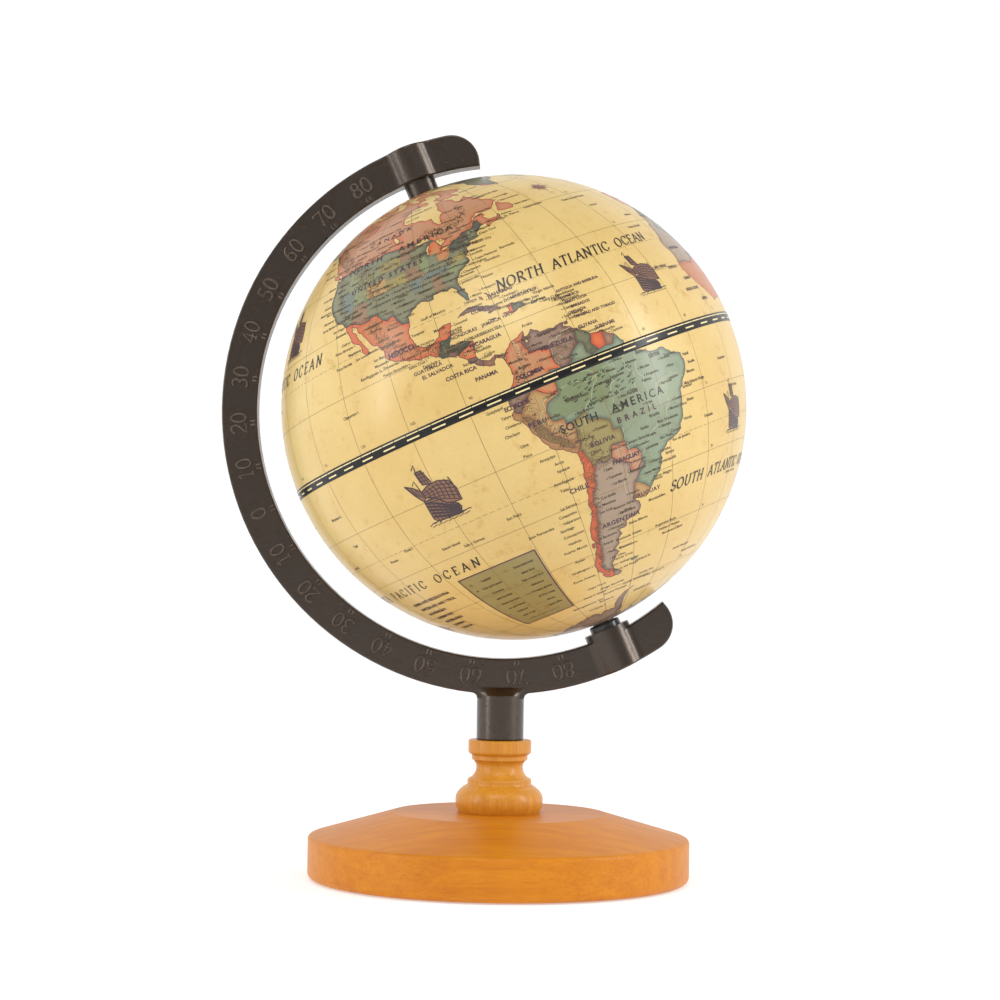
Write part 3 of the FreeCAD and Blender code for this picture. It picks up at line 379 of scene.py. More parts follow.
RIVERS = """
-50.5 -0.4, -53 -2, -56.5 -2.2, -60 -3.2, -63.5 -3.6, -66.5 -2.8, -70 -4, -73.3 -4.4, -75.5 -7.5, -76 -9.8;
-60 -3.2, -61.5 -5.5, -63 -8, -65.2 -10.2, -66.5 -13;
-60.2 -3, -62 -1.4, -64.5 -0.6, -67 0.8, -67.5 3.5;
-54.8 -2.4, -55.3 -4.6, -57.6 -7.4, -58 -10.5;
-48.6 -1.2, -49.5 -4.5, -48.5 -7.5, -48.3 -11, -49 -14.5;
-52.4 -1.8, -52 -4, -51.2 -7.5, -50.8 -11;
-36.6 -10.4, -39 -9, -41 -9.4, -43.2 -12.6, -44.6 -16.5, -45 -19.5;
-58.4 -34, -60.7 -32, -58.8 -27.3, -54.8 -25.4, -53 -22.5, -50.5 -20, -48 -18.6;
-58.7 -27.3, -57.7 -25.2, -57.6 -21, -57.8 -16.5;
-61 9, -64 8, -67 7.4, -67.6 4.5, -65 3;
-74.8 11, -74 8.5, -75.4 5, -75.8 2.2;
-89.3 29.2, -91.3 31, -91 34, -89.4 37, -91 40.5, -93 44.8, -95 47.2;
-89.2 37, -86 38, -83.5 38.7, -80.6 40.4;
-90.3 38.8, -94.6 39.1, -96.5 42.5, -100.5 45, -104 48, -109 47.5, -111.6 45.8;
-91 33.4, -94.4 35.4, -98 37.4, -103 38;
-97.2 25.9, -100 28.3, -104.5 29.7, -106.6 32.5, -106 36.5;
-114.8 31.9, -114.6 35, -111.6 36.6, -109 39.2;
-124 46.2, -119 46, -119.5 48.5, -117.5 51;
-134 69.3, -129 66, -123.5 61.5, -115 61"""

# Mountain ranges: (width in degrees, line along the crest).
RANGES = [
    (2.4, "-73 9, -75.5 5, -77 1.5, -78.6 -2"),
    (3.6, "-78.4 -2, -77.6 -7, -76.3 -10.5, -73 -14, -69.5 -17"),
    (3.8, "-70 -14.5, -67.5 -17, -66 -20, -66.4 -24"),
    (1.8, "-68.6 -24, -69.8 -31, -70.8 -36, -71.9 -42, -73.2 -49, -70.6 -54"),
    (2.0, "-69.6 -18, -69.6 -24, -70.8 -31, -71.8 -36, -72.8 -42, -73.8 -48"),
    (2.2, "-67 4.6, -64 4.4, -61.4 5"),
    (4.4, "-136 61, -128 56, -122 52.5, -116.5 49, -113 46.5, -110.5 43.5, -107 40, -105.8 36.5"),
    (2.0, "-121.6 48.5, -121.6 44, -120 39.5, -118.4 36.5, -116.5 33.5"),
    (3.4, "-108.6 30, -107 26.5, -104.5 22.5, -101 19.4, -97 17.5, -93 16, -88.5 14.6, -85.4 12.8"),
    (2.2, "-84.5 34.8, -81 37, -78 40, -74 43.5, -70.5 45.5"),
    (3.0, "-72 56, -70 52, -78 49, -88 50"),
    (4.0, "72 36, 78 32, 86 28.6, 96 29, 101 27"),
    (2.0, "6 45, 10 46.6, 15 47, 24 45.6"),
    (2.4, "-8 31, 0 34.5, 8 35.5"),
    (2.0, "60 66, 59 58, 59 51"),
    (3.0, "82 47, 90 50, 98 52, 110 55"),
    (3.6, "38 13, 40 9, 37 0, 35 -8"),
    (2.4, "146 -18, 151 -27, 149 -36"),
]
STROKES_PER_AREA = 2.4

# ---- small helpers ---------------------------------------------------------------------------


def read_points(text):
    """Points from a text of number pairs, split by commas."""
    return [tuple(float(n) for n in pair.split()) for pair in text.split(",")]


def read_outlines(text):
    """(name, tint, points) of each outline in a text, split by semicolons."""
    found = []
    for entry in text.split(";"):
        heading, places = entry.split(":")
        found.append((*heading.split(), read_points(places)))
    return found


def read_names(text, count):
    """(numbers, name) of each entry in a text, split by commas, with so many numbers before the name."""
    found = []
    for entry in text.split(","):
        words = entry.split()
        found.append(([float(n) for n in words[:count]], " ".join(words[count:])))
    return found


def linear(rgb):
    """An sRGB colour of 0 to 255 as linear RGBA."""
    scaled = [c / 255 for c in rgb]
    return tuple(c / 12.92 if c <= 0.04045 else ((c + 0.055) / 1.055) ** 2.4 for c in scaled) + (1.0,)


def on_ball(lon, lat, height=0.0):
    """Point of the ball at a place on the map, height in metres above its surface."""
    turn, climb = math.radians(lon - LON_IN_FRONT), math.radians(lat)
    around = FRONT * math.cos(turn) + SIDE * math.sin(turn)
    return BALL_CENTRE + (BALL_RADIUS + height) * (around * math.cos(climb) + NORTH * math.sin(climb))


def from_local(lon, lat, x, y):
    """Place on the map that lies x mm east and y mm north of another."""
    per_mm = math.degrees(MM / BALL_RADIUS)
    return lon + x * per_mm / math.cos(math.radians(lat)), lat + y * per_mm


def placed(lon, lat, scale=1.0):
    """A function that puts scaled local millimetres on the map, around a place."""
    return lambda x, y: from_local(lon, lat, scale * x, scale * y)


def make_piece(name, points, faces, body, material, smooth=True, replaced=()):
    """A mesh object that rides on a body and takes a slot's finish."""
    mesh = bpy.data.meshes.new(name)
    mesh.from_pydata([tuple(p) for p in points], [], faces)
    mesh.validate()
    mesh.polygons.foreach_set("use_smooth", [smooth] * len(mesh.polygons))
    mesh.materials.append(material)
    piece = bpy.data.objects.new(name, mesh)
    bpy.context.scene.collection.objects.link(piece)
    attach(piece, body)
    if replaced:
        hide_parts(*replaced)
    return piece


def inside(outline, points):
    """Which points lie inside a closed outline, by the even-odd rule."""
    ring = np.array(outline)
    low, high = ring.min(0), ring.max(0)
    near = np.nonzero(((points >= low) & (points <= high)).all(1))[0]
    x, y = points[near, 0], points[near, 1]
    hit = np.zeros(len(near), bool)
    for (x1, y1), (x2, y2) in zip(ring, np.roll(ring, -1, 0)):
        if y1 != y2:
            crosses = (y1 > y) != (y2 > y)
            hit ^= crosses & (x < (x2 - x1) * (y - y1) / (y2 - y1) + x1)
    found = np.zeros(len(points), bool)
    found[near] = hit
    return found


def roughen(outline, wobble, step, closed=True):
    """The outline with each stretch broken at displaced midpoints until it is shorter than step."""
    dice = random.Random(len(outline) + int(outline[0][0] * 10))
    points = list(outline)
    ends = points[1:] + points[:1] if closed else points[1:]

    def broken(start, end):
        dx, dy = end[0] - start[0], end[1] - start[1]
        length = math.hypot(dx, dy)
        if length < step or abs(start[1]) > 83:
            return [start]
        push = dice.uniform(-wobble, wobble)
        middle = ((start[0] + end[0]) / 2 - dy * push, (start[1] + end[1]) / 2 + dx * push)
        return broken(start, middle) + broken(middle, end)

    rough = [p for start, end in zip(points, ends) for p in broken(start, end)]
    return rough if closed else rough + [points[-1]]


# ---- materials -------------------------------------------------------------------------------

WHITE = (1, 1, 1)


class Shader:
    """A material's node tree, with short calls for the nodes that these materials use."""

    def __init__(self, name, **values):
        self.material = bpy.data.materials.new(name)
        self.material.use_nodes = True
        self.nodes = self.material.node_tree.nodes
        self.links = self.material.node_tree.links
        self.surface = self.nodes["Principled BSDF"]
        for socket, value in values.items():
            self.surface.inputs[socket.replace("_", " ")].default_value = value
        self.place = self.nodes.new("ShaderNodeTexCoord").outputs["Object"]

    def link(self, output, target, socket=None):
        self.links.new(output, target if socket is None else target.inputs[socket])

    def mapping(self, scale, turn=(0, 0, 0)):
        node = self.nodes.new("ShaderNodeMapping")
        node.inputs["Scale"].default_value = scale
        node.inputs["Rotation"].default_value = turn
        self.link(self.place, node, "Vector")
        return node.outputs["Vector"]

    def noise(self, scale, detail=3.0, rough=0.5, where=None, distortion=0.0):
        node = self.nodes.new("ShaderNodeTexNoise")
        node.inputs["Scale"].default_value = scale
        node.inputs["Detail"].default_value = detail
        node.inputs["Roughness"].default_value = rough
        node.inputs["Distortion"].default_value = distortion
        self.link(self.place if where is None else where, node, "Vector")
        return node.outputs["Fac"]

    def ramp(self, value, *stops):
        node = self.nodes.new("ShaderNodeValToRGB")
        while len(node.color_ramp.elements) < len(stops):
            node.color_ramp.elements.new(0.5)
        for element, (position, colour) in zip(node.color_ramp.elements, stops):
            element.position = position
            element.color = colour if len(colour) == 4 else tuple(colour) + (1,)
        self.link(value, node, "Fac")
        return node.outputs["Color"]

    def mix(self, amount, first, second, kind="MIX"):
        node = self.nodes.new("ShaderNodeMix")
        node.data_type = "RGBA"
        node.blend_type = kind
        for index, value in ((0, amount), (6, first), (7, second)):
            if isinstance(value, (float, tuple)):
                node.inputs[index].default_value = value
            else:
                self.link(value, node.inputs[index])
        return node.outputs[2]

    def tint(self, amount, tone, value, *stops):
        """The tone multiplied, by an amount, with a ramp over a value."""
        return self.mix(amount, tone, self.ramp(value, *stops), "MULTIPLY")

    def colour(self, output):
        self.link(output, self.surface, "Base Color")

    def roughness(self, value, low, high):
        """Roughness that varies between two levels with a value."""
        node = self.nodes.new("ShaderNodeMapRange")
        node.inputs["To Min"].default_value = low
        node.inputs["To Max"].default_value = high
        self.link(value, node, "Value")
        self.link(node.outputs["Result"], self.surface, "Roughness")

    def bump(self, value, distance, strength=1.0):
        node = self.nodes.new("ShaderNodeBump")
        node.inputs["Distance"].default_value = distance
        node.inputs["Strength"].default_value = strength
        previous = self.surface.inputs["Normal"].links
        if previous:
            self.link(previous[0].from_socket, node, "Normal")
        self.link(value, node, "Height")
        self.link(node.outputs["Normal"], self.surface, "Normal")


def wood(name, dark, body, light, along, coat):
    """Lacquered fine-grained wood whose grain runs along X (0) or Z (2)."""
    shader = Shader(name, Roughness=0.42, Coat_Weight=coat, Coat_Roughness=0.2, Specular_IOR_Level=0.3)
    slow, fast = (14, 420 if along else 330), (90, 1500)
    stretched = [tuple(s[0] if axis == along else s[1] for axis in range(3)) for s in (slow, fast)]
    figure = shader.noise(1.0, 4, 0.6, shader.mapping(stretched[0]), 0.4)
    fibres = shader.noise(1.0, 3, 0.6, shader.mapping(stretched[1]))
    cloud = shader.noise(38, 2)
    pores = shader.noise(1.0, 2, 0.7, shader.mapping([8 * n for n in stretched[0]]), 0.2)
    tone = shader.ramp(figure, (0.2, linear(dark)), (0.5, linear(body)), (0.8, linear(light)))
    tone = shader.tint(0.3, tone, fibres, (0.36, (0.74, 0.56, 0.36)), (0.56, WHITE))
    tone = shader.tint(0.3, tone, pores, (0.3, (0.62, 0.4, 0.24)), (0.42, WHITE))
    tone = shader.tint(0.3, tone, cloud, (0.35, (0.8, 0.66, 0.46)), (0.65, WHITE))
    shader.colour(tone)
    shader.roughness(fibres, 0.36, 0.52)
    shader.bump(fibres, 0.00003, 0.5)
    return shader.material


def arm_metal(name, dark, light):
    """Dark bronze-grey satin paint over a fine sand-cast skin."""
    shader = Shader(name, Roughness=0.27, Specular_IOR_Level=0.9, Specular_Tint=(1, 0.84, 0.72, 1))
    grain = shader.noise(1500, 4, 0.7)
    cloud = shader.noise(70, 3)
    shader.colour(shader.mix(grain, linear(dark), linear(light)))
    shader.roughness(cloud, 0.23, 0.31)
    shader.bump(grain, 0.00004, 0.4)
    shader.bump(shader.noise(1000, 3, 0.65), 0.00011, 0.5)
    return shader.material


def neck_plastic():
    """Dark smooth plastic with a soft gloss."""
    shader = Shader("neck_plastic", Roughness=0.28, Coat_Weight=0.25, Coat_Roughness=0.1)
    speckle = shader.noise(1400, 2)
    shader.colour(shader.mix(speckle, linear((30, 29, 27)), linear((46, 44, 41))))
    shader.roughness(shader.noise(160, 3), 0.2, 0.38)
    shader.bump(speckle, 0.00002, 0.25)
    return shader.material


def felt():
    """Short black felt: matted fibres with sheen."""
    shader = Shader("felt", Roughness=0.95, Sheen_Weight=0.6, Sheen_Roughness=0.6)
    fibres = shader.noise(1.0, 5, 0.7, shader.mapping((1800, 900, 1800)), 1.2)
    shader.colour(shader.ramp(fibres, (0.3, linear((18, 18, 19))), (0.7, linear((52, 51, 52)))))
    shader.bump(fibres, 0.0003, 0.8)
    return shader.material


def steel():
    """Plain turned steel with fine lines and light tarnish."""
    shader = Shader("steel", Metallic=1.0, Roughness=0.3)
    lines = shader.noise(1.0, 3, 0.6, shader.mapping((300, 300, 5200)))
    tarnish = shader.noise(260, 3)
    shader.colour(shader.mix(tarnish, linear((150, 149, 148)), linear((196, 195, 196))))
    shader.roughness(lines, 0.2, 0.42)
    shader.bump(lines, 0.00001, 0.4)
    return shader.material


def shell_plastic():
    """Plain moulded plastic of the half shells."""
    shader = Shader("shell_plastic", Roughness=0.5)
    haze = shader.noise(90, 3)
    shader.colour(shader.mix(haze, linear((212, 205, 182)), linear((228, 222, 204))))
    shader.bump(shader.noise(1300, 2), 0.00003, 0.3)
    return shader.material


def paper_age(shader, tone):
    """Varnished paper: the tone with foxing, faint creases and fibres, and the varnish's bump."""
    broad = shader.noise(26, 4, 0.6)
    spots = shader.noise(210, 3, 0.7)
    fibres = shader.noise(1.0, 3, 0.6, shader.mapping((900, 1500, 900), (0.4, 0.2, 0.6)))
    tone = shader.tint(0.55, tone, broad, (0.32, linear((236, 220, 188))), (0.68, WHITE))
    tone = shader.tint(0.5, tone, spots, (0.26, linear((222, 200, 160))), (0.42, WHITE))
    tone = shader.tint(0.35, tone, fibres, (0.3, (0.86, 0.86, 0.86)), (0.7, WHITE))
    shader.roughness(spots, 0.3, 0.4)
    shader.bump(shader.noise(330, 2), 0.00003, 0.25)
    return tone


def map_paper():
    """The printed sheet: each face's fill, with a stronger colour along coasts and borders."""
    shader = Shader("map_paper", Coat_Weight=0.25, Coat_Roughness=0.22, Specular_IOR_Level=0.35)
    layers = {}
    for layer in ("fill", "rim_colour", "rim"):
        layers[layer] = shader.nodes.new("ShaderNodeAttribute")
        layers[layer].attribute_name = layer
    edge = shader.ramp(layers["rim"].outputs["Fac"], (0.15, (0, 0, 0)), (0.85, (0.9, 0.9, 0.9)))
    tone = shader.mix(edge, layers["fill"].outputs["Color"], layers["rim_colour"].outputs["Color"])
    shader.colour(paper_age(shader, tone))
    return shader.material


def ink(name, dark, light):
    """Printing ink under the varnish, a little uneven."""
    shader = Shader(name, Coat_Weight=0.25, Coat_Roughness=0.22, Specular_IOR_Level=0.35)
    uneven = shader.noise(2400, 2)
    shader.colour(shader.mix(uneven, linear(dark), linear(light)))
    shader.roughness(shader.noise(300, 2), 0.3, 0.4)
    return shader.material


METAL = arm_metal("arm_metal", (14, 8, 5), (38, 27, 20))
# A lighter copy of the arm's metal for the numerals: painted highlight on their raised strokes, which are the
# arm's own colour.
NUMERAL_METAL_PAINTED_HIGHLIGHT = arm_metal("arm_metal_painted_highlight", (34, 26, 20), (74, 62, 52))
SLOT_MATERIALS = {
    "base_wood": wood("base_wood", (194, 112, 6), (205, 126, 8), (215, 138, 16), 0, 0.04),
    "post_wood": wood("post_wood", (205, 136, 32), (214, 148, 44), (224, 161, 60), 2, 0.3),
    "felt": felt(),
    "steel": steel(),
    "arm_metal": METAL,
    "neck_plastic": neck_plastic(),
    "shell_plastic": shell_plastic(),
}


def dress_cad_nodes():
    """Each carried-over node gets its slot's material."""
    for subpart in frame["record"]["subparts"]:
        material = SLOT_MATERIALS.get(subpart["material_slot"])
        if material:
            mesh = frame["nodes"][subpart["node"]].data
            mesh.materials.clear()
            mesh.materials.append(material)


# ---- the printed sheets ------------------------------------------------------------------------

KEY_BOX = [(-117.1, -36.8), (-90.6, -36.8), (-90.6, -60.8), (-117.1, -60.8)]
LATTICE_STEP = 2.2
PARENT_LANDS = ("united_states", "south_america")


def all_regions():
    """Every region that a place can belong to, as (name, tint, outline, kind), in the order of painting."""
    regions = [("sea", "sea", None, None)]
    for kind, text in (("land", LANDS), ("country", COUNTRIES), ("state", STATES), ("lake", LAKES)):
        regions += [(*region, kind) for region in read_outlines(text)]
    return regions + [("key_box", "olive", KEY_BOX, "box")]


def settled(lon, lat):
    """A place of North America moved to where this map's projection draws it, a little south-east."""
    share = min(1.0, max(0.0, (lat - 10) / 15)) * min(1.0, max(0.0, (-50 - lon) / 10))
    return lon + 0.7 * share, lat - 0.9 * share


REGIONS = all_regions()
OUTLINE_WOBBLE = {"land": 0.14, "lake": 0.12, "country": 0.07, "state": 0.03, "box": 0.0}
OUTLINE_STEP = {"land": 0.75, "lake": 0.7, "country": 1.0, "state": 1.6, "box": 2.0}
OUTLINES = [None] + [roughen([settled(*place) for place in points], OUTLINE_WOBBLE[kind], OUTLINE_STEP[kind])
                     for _, _, points, kind in REGIONS[1:]]


def region_of(places):
    """Region number and country number of each place. Sea and lakes are 0."""
    region = np.zeros(len(places), int)
    country = np.zeros(len(places), int)
    parents = [i for i, r in enumerate(REGIONS) if r[0] in PARENT_LANDS]
    for number, ((_, _, _, kind), outline) in enumerate(zip(REGIONS, OUTLINES)):
        if kind is None:
            continue
        hit = inside(outline, places)
        if kind == "country":
            hit &= country > 0
        elif kind == "state":
            hit &= np.isin(country, parents)
        region[hit] = 0 if kind == "lake" else number
        if kind != "state":
            country[hit] = region[hit]
    return region, country


def lattice():
    """Points and fixed edges of an even net over the map, closed at the seam, equator and poles."""
    rows = np.arange(-39, 40) * LATTICE_STEP
    rows = [-POLE_HOLE_LAT] + [lat for lat in rows if abs(lat) < POLE_HOLE_LAT - 0.5] + [POLE_HOLE_LAT]
    points, edges, ends = [], [], []
    for lat in rows:
        count = max(24, round(360 * math.cos(math.radians(lat)) / LATTICE_STEP))
        first = len(points)
        points += [(SEAM_LON + 360 * i / count, lat) for i in range(count + 1)]
        ends.append((first, len(points) - 1))
        if abs(lat) in (0, POLE_HOLE_LAT):
            edges += [(i, i + 1) for i in range(first, len(points) - 1)]
    for (left, right), (next_left, next_right) in zip(ends, ends[1:]):
        edges += [(left, next_left), (right, next_right)]
    return points, edges


def beside(outline, distance):
    """Points on both sides of an outline, so that the coloured rim has room to fade."""
    points = []
    for (x1, y1), (x2, y2) in zip(outline, outline[1:] + outline[:1]):
        squeeze = math.cos(math.radians((y1 + y2) / 2))
        dx, dy = (x2 - x1) * squeeze, y2 - y1
        length = math.hypot(dx, dy)
        if 0.2 < length < 3 and abs(y1) < 80:
            x, y = (x1 + x2) / 2, (y1 + y2) / 2
            for side in (-distance, distance):
                points.append((x - dy / length * side / squeeze, y + dx / length * side))
    return points


def triangulated_map():
    """The map's net: places, triangles, and each triangle's region and country."""
    points, edges = lattice()
    for (_, _, _, kind), outline in zip(REGIONS, OUTLINES):
        if kind is None:
            continue
        first = len(points)
        points += outline
        edges += [(first + i, first + (i + 1) % len(outline)) for i in range(len(outline))]
        if kind in ("land", "country") and abs(outline[0][1]) < 75:
            points += beside(outline, RIM_WIDTH)
    net = delaunay_2d_cdt([Vector(p) for p in points], edges, [], 0, 1e-5)
    places = np.array([tuple(v) for v in net[0]])
    triangles = np.array(net[2])
    middles = places[triangles].mean(1)
    kept = ((middles[:, 0] > SEAM_LON) & (middles[:, 0] < SEAM_LON + 360)
            & (abs(middles[:, 1]) < POLE_HOLE_LAT))
    triangles, middles = triangles[kept], middles[kept]
    return places, triangles, middles, *region_of(middles)


def boundary_edges(triangles, region, country):
    """Edges between regions, as {kind: [(vertex, vertex)]}, where kind is coast, border, state or box."""
    sides = {}
    for number, (a, b, c) in enumerate(triangles.tolist()):
        for edge in ((a, b), (b, c), (c, a)):
            sides.setdefault((min(edge), max(edge)), []).append(number)
    box = len(REGIONS) - 1
    found = {"coast": [], "border": [], "state": [], "box": []}
    for edge, faces in sides.items():
        if len(faces) == 2 and region[faces[0]] != region[faces[1]]:
            pair = (region[faces[0]], region[faces[1]])
            if box in pair:
                kind = "box"
            elif 0 in pair:
                kind = "coast"
            else:
                kind = "border" if country[faces[0]] != country[faces[1]] else "state"
            found[kind].append(edge)
    return found


def rim_strength(points, edges):
    """1 on a coast or border, falling to 0 at the rim's width from it."""
    used = sorted({v for kind in ("coast", "border") for edge in edges[kind] for v in edge})
    tree = KDTree(len(used))
    for v in used:
        tree.insert(points[v], v)
    tree.balance()
    width = BALL_RADIUS * math.radians(RIM_WIDTH)
    return [max(0.0, 1 - tree.find(p)[2] / width) for p in points]


def build_sheets():
    """One printed sheet per hemisphere. Returns the map's points and the edges between regions."""
    places, triangles, middles, region, country = triangulated_map()
    points = [on_ball(lon, lat) for lon, lat in places]
    edges = boundary_edges(triangles, region, country)
    rim = rim_strength(points, edges)
    paper = map_paper()
    fills = np.array([linear(TINTS[r[1]][0]) for r in REGIONS], np.float32)
    rims = np.array([linear(TINTS[r[1]][1]) for r in REGIONS], np.float32)
    halves = (("northern_map", middles[:, 1] > 0, 1, SKIN_NODES[0]),
              ("southern_map", middles[:, 1] < 0, -1, SKIN_NODES[1]))
    for name, chosen, pole, node in halves:
        faces = triangles[chosen]
        used, faces = np.unique(faces, return_inverse=True)
        faces = faces.reshape(-1, 3)
        corners = [points[v] for v in used]
        ring = sorted((places[v][0], i) for i, v in enumerate(used)
                      if abs(places[v][1] - pole * POLE_HOLE_LAT) < 1e-4)
        skirt = len(corners)
        corners += [on_ball(lon, pole * POLE_HOLE_LAT, -SKIN_THICKNESS) for lon, _ in ring]
        wall = []
        for i in range(len(ring) - 1):
            quad = (ring[i][1], ring[i + 1][1], skirt + i + 1, skirt + i)
            wall.append(quad if pole < 0 else quad[::-1])
        piece = make_piece(name, corners, faces.tolist() + wall, "globe", paper,
                           replaced=(node,))
        mesh = piece.data
        number = np.concatenate([np.repeat(region[chosen], 3), np.zeros(4 * len(wall), int)])
        for layer, colours in (("fill", fills), ("rim_colour", rims)):
            attribute = mesh.attributes.new(layer, "FLOAT_COLOR", "CORNER")
            attribute.data.foreach_set("color", colours[number].ravel())
        attribute = mesh.attributes.new("rim", "FLOAT", "POINT")
        attribute.data.foreach_set("value", [rim[v] for v in used] + [0.0] * len(ring))
        outward = [(Vector(p) - BALL_CENTRE).normalized() for p in corners]
        mesh.normals_split_custom_set_from_vertices(outward)
    return points, edges


# ---- printed marks -----------------------------------------------------------------------------

# Longest stretch of a printed line, in degrees. A longer one would cut into the ball.
LINE_STEP = 1.6


class Marks:
    """Flat marks of one ink, just above the sheet, gathered as one piece."""

    def __init__(self, height):
        self.height = height * MM
        self.points = []
        self.faces = []

    def strip(self, line, widths):
        """A ribbon along points in space, with one width or one for each point, in metres."""
        first, last = len(self.points), len(line) - 1
        if not isinstance(widths, list):
            widths = [widths] * len(line)
        for i, point in enumerate(line):
            ahead = line[min(i + 1, last)] - line[max(i - 1, 0)]
            across = (point - BALL_CENTRE).cross(ahead).normalized() * (widths[i] / 2)
            self.points += [point + across, point - across]
        for i in range(first, first + 2 * last, 2):
            self.faces.append((i, i + 1, i + 3, i + 2))

    def line(self, places, width):
        """A ribbon along places on the map, width in mm, with steps short enough to follow the ball."""
        followed = roughen(list(places), 0.0, LINE_STEP, closed=False)
        self.strip([on_ball(lon, lat, self.height) for lon, lat in followed], width * MM)

    def dot(self, lon, lat, radius):
        """A six-sided dot, radius in mm."""
        first = len(self.points)
        rim = arc(0, 0, radius, radius, 0, 300, 5)
        self.points += [on_ball(*from_local(lon, lat, x, y), self.height) for x, y in rim]
        self.faces.append(tuple(range(first, first + 6)))

    def area(self, outline, put):
        """A filled shape, its outline in local mm, netted finely enough to follow the ball."""
        rim = roughen(outline, 0.0, 1.0)
        low, high = np.array(rim).min(0), np.array(rim).max(0)
        grid = [(x, y) for x in np.arange(low[0], high[0], 1.0) for y in np.arange(low[1], high[1], 1.0)]
        edges = [(i, (i + 1) % len(rim)) for i in range(len(rim))]
        net = delaunay_2d_cdt([Vector(p) for p in rim + grid], edges, [], 0, 1e-4)
        local = np.array([tuple(v) for v in net[0]])
        triangles = np.array(net[2])
        triangles = triangles[inside(outline, local[triangles].mean(1))]
        first = len(self.points)
        self.points += [on_ball(*put(x, y), self.height) for x, y in local]
        self.faces += [tuple(first + i for i in triangle) for triangle in triangles.tolist()]

    def piece(self, name, material):
        make_piece(name, self.points, self.faces, "globe", material, smooth=False)


def draw_region_edges(points, edges):
    """Ribbons along coasts, borders, state lines and the key's frame."""
    dark, thin, frame_line = Marks(0.02), Marks(0.018), Marks(0.026)
    targets = {"coast": (dark, 0.2), "border": (dark, 0.17), "state": (thin, 0.08), "box": (frame_line, 0.42)}
    for kind, pairs in edges.items():
        marks, width = targets[kind]
        for a, b in pairs:
            start, end = points[a], points[b]
            reach_on = (end - start).normalized() * (width * MM * 0.3)
            ends = [start - reach_on, end + reach_on]
            lifted = [p + (p - BALL_CENTRE).normalized() * marks.height for p in ends]
            marks.strip(lifted, width * MM)
    dark.piece("coast_and_border_lines", ink("ink_outline", (84, 60, 58), (104, 76, 70)))
    thin.piece("state_lines", ink("ink_fine", (112, 110, 90), (130, 126, 102)))
    frame_line.piece("key_frame", ink("ink_purple", (78, 52, 66), (92, 62, 76)))


GRATICULE_STEP = 15


def draw_graticule():
    """Meridians and parallels every 15 degrees, and dashed tropics and polar circles."""
    brown = Marks(0.012)
    for lon in range(-180, 180, GRATICULE_STEP):
        brown.line([(lon, lat) for lat in np.arange(-84, 84.1, 1.5)], 0.15)
    for lat in range(-75, 76, GRATICULE_STEP):
        if lat:
            brown.line([(lon, lat) for lon in np.arange(-180, 180.1, 1.5)], 0.13)
    for lat in (-66.5, -23.4, 23.4, 66.5):
        for start in range(-180, 180, 2):
            brown.line([(start, lat), (start + 0.65, lat), (start + 1.3, lat)], 0.13)
    brown.piece("graticule", ink("ink_brown", (128, 104, 62), (148, 122, 76)))


def draw_rivers():
    """Winding rivers: pale in the south, dark and finer in the north."""
    pale, dark = Marks(0.014), Marks(0.014)
    for text in RIVERS.split(";"):
        places = read_points(text)
        southern = places[0][1] < 12
        line = roughen([settled(*place) for place in places], 0.22, 0.6, closed=False)
        (pale if southern else dark).line(line, 0.13)
    pale.piece("southern_rivers", ink("ink_pale", (174, 176, 136), (190, 190, 150)))
    dark.piece("northern_rivers", ink("ink_river", (84, 86, 70), (104, 104, 84)))


def draw_relief():
    """Hatching of short curved strokes across the mountain ranges, and dots for the great forest."""
    dice = random.Random(11)
    brown, dark = Marks(0.016), Marks(0.016)
    for width, text in RANGES:
        places = read_points(text)
        for (lon, lat), (next_lon, next_lat) in zip(places, places[1:]):
            dx, dy = next_lon - lon, next_lat - lat
            length = math.hypot(dx, dy)
            for _ in range(round(length * width * STROKES_PER_AREA)):
                along, across = dice.random(), dice.uniform(-0.5, 0.5) * width
                x, y = lon + dx * along - dy / length * across, lat + dy * along + dx / length * across
                heading = math.atan2(dx, -dy) + dice.gauss(0, 0.5)
                step, bend = dice.uniform(0.16, 0.34), dice.uniform(-0.35, 0.35)
                stroke = [(x, y)]
                for _ in range(4):
                    x += step * math.cos(heading)
                    y += step * math.sin(heading)
                    heading += bend
                    stroke.append((x, y))
                brown.line([settled(*place) for place in stroke], dice.uniform(0.09, 0.16))
    for _ in range(70):
        lon, lat = dice.uniform(-69, -51), dice.uniform(-9.5, -2.5)
        dark.dot(lon, lat, dice.uniform(0.22, 0.38))
        dark.dot(lon + 0.5, lat + 0.15, dice.uniform(0.16, 0.3))
    brown.piece("mountain_hatching", ink("ink_umber", (88, 66, 40), (112, 86, 54)))
    dark.piece("forest_dots", ink("ink_forest", (56, 64, 50), (74, 82, 64)))


# ---- lettering ---------------------------------------------------------------------------------


def letter_mesh(text, size, bold, gap=1.0):
    """Flat letters of the built-in typeface, size in mm, centred, as points and faces."""
    curve = bpy.data.curves.new("letters", "FONT")
    curve.body = text
    curve.size = size
    curve.space_character = gap
    curve.offset = bold
    curve.resolution_u = 2
    curve.align_x = "CENTER"
    curve.align_y = "CENTER"
    curve.fill_mode = "FRONT"
    holder = bpy.data.objects.new("letters", curve)
    mesh = bpy.data.meshes.new_from_object(holder)
    points = [(v.co.x, v.co.y) for v in mesh.vertices]
    faces = [tuple(f.vertices) for f in mesh.polygons]
    bpy.data.objects.remove(holder)
    bpy.data.meshes.remove(mesh)
    return points, faces


def along_parallel(span, lat):
    """Length in mm of a span in degrees along a parallel."""
    return math.radians(span) * BALL_RADIUS / MM * math.cos(math.radians(lat))


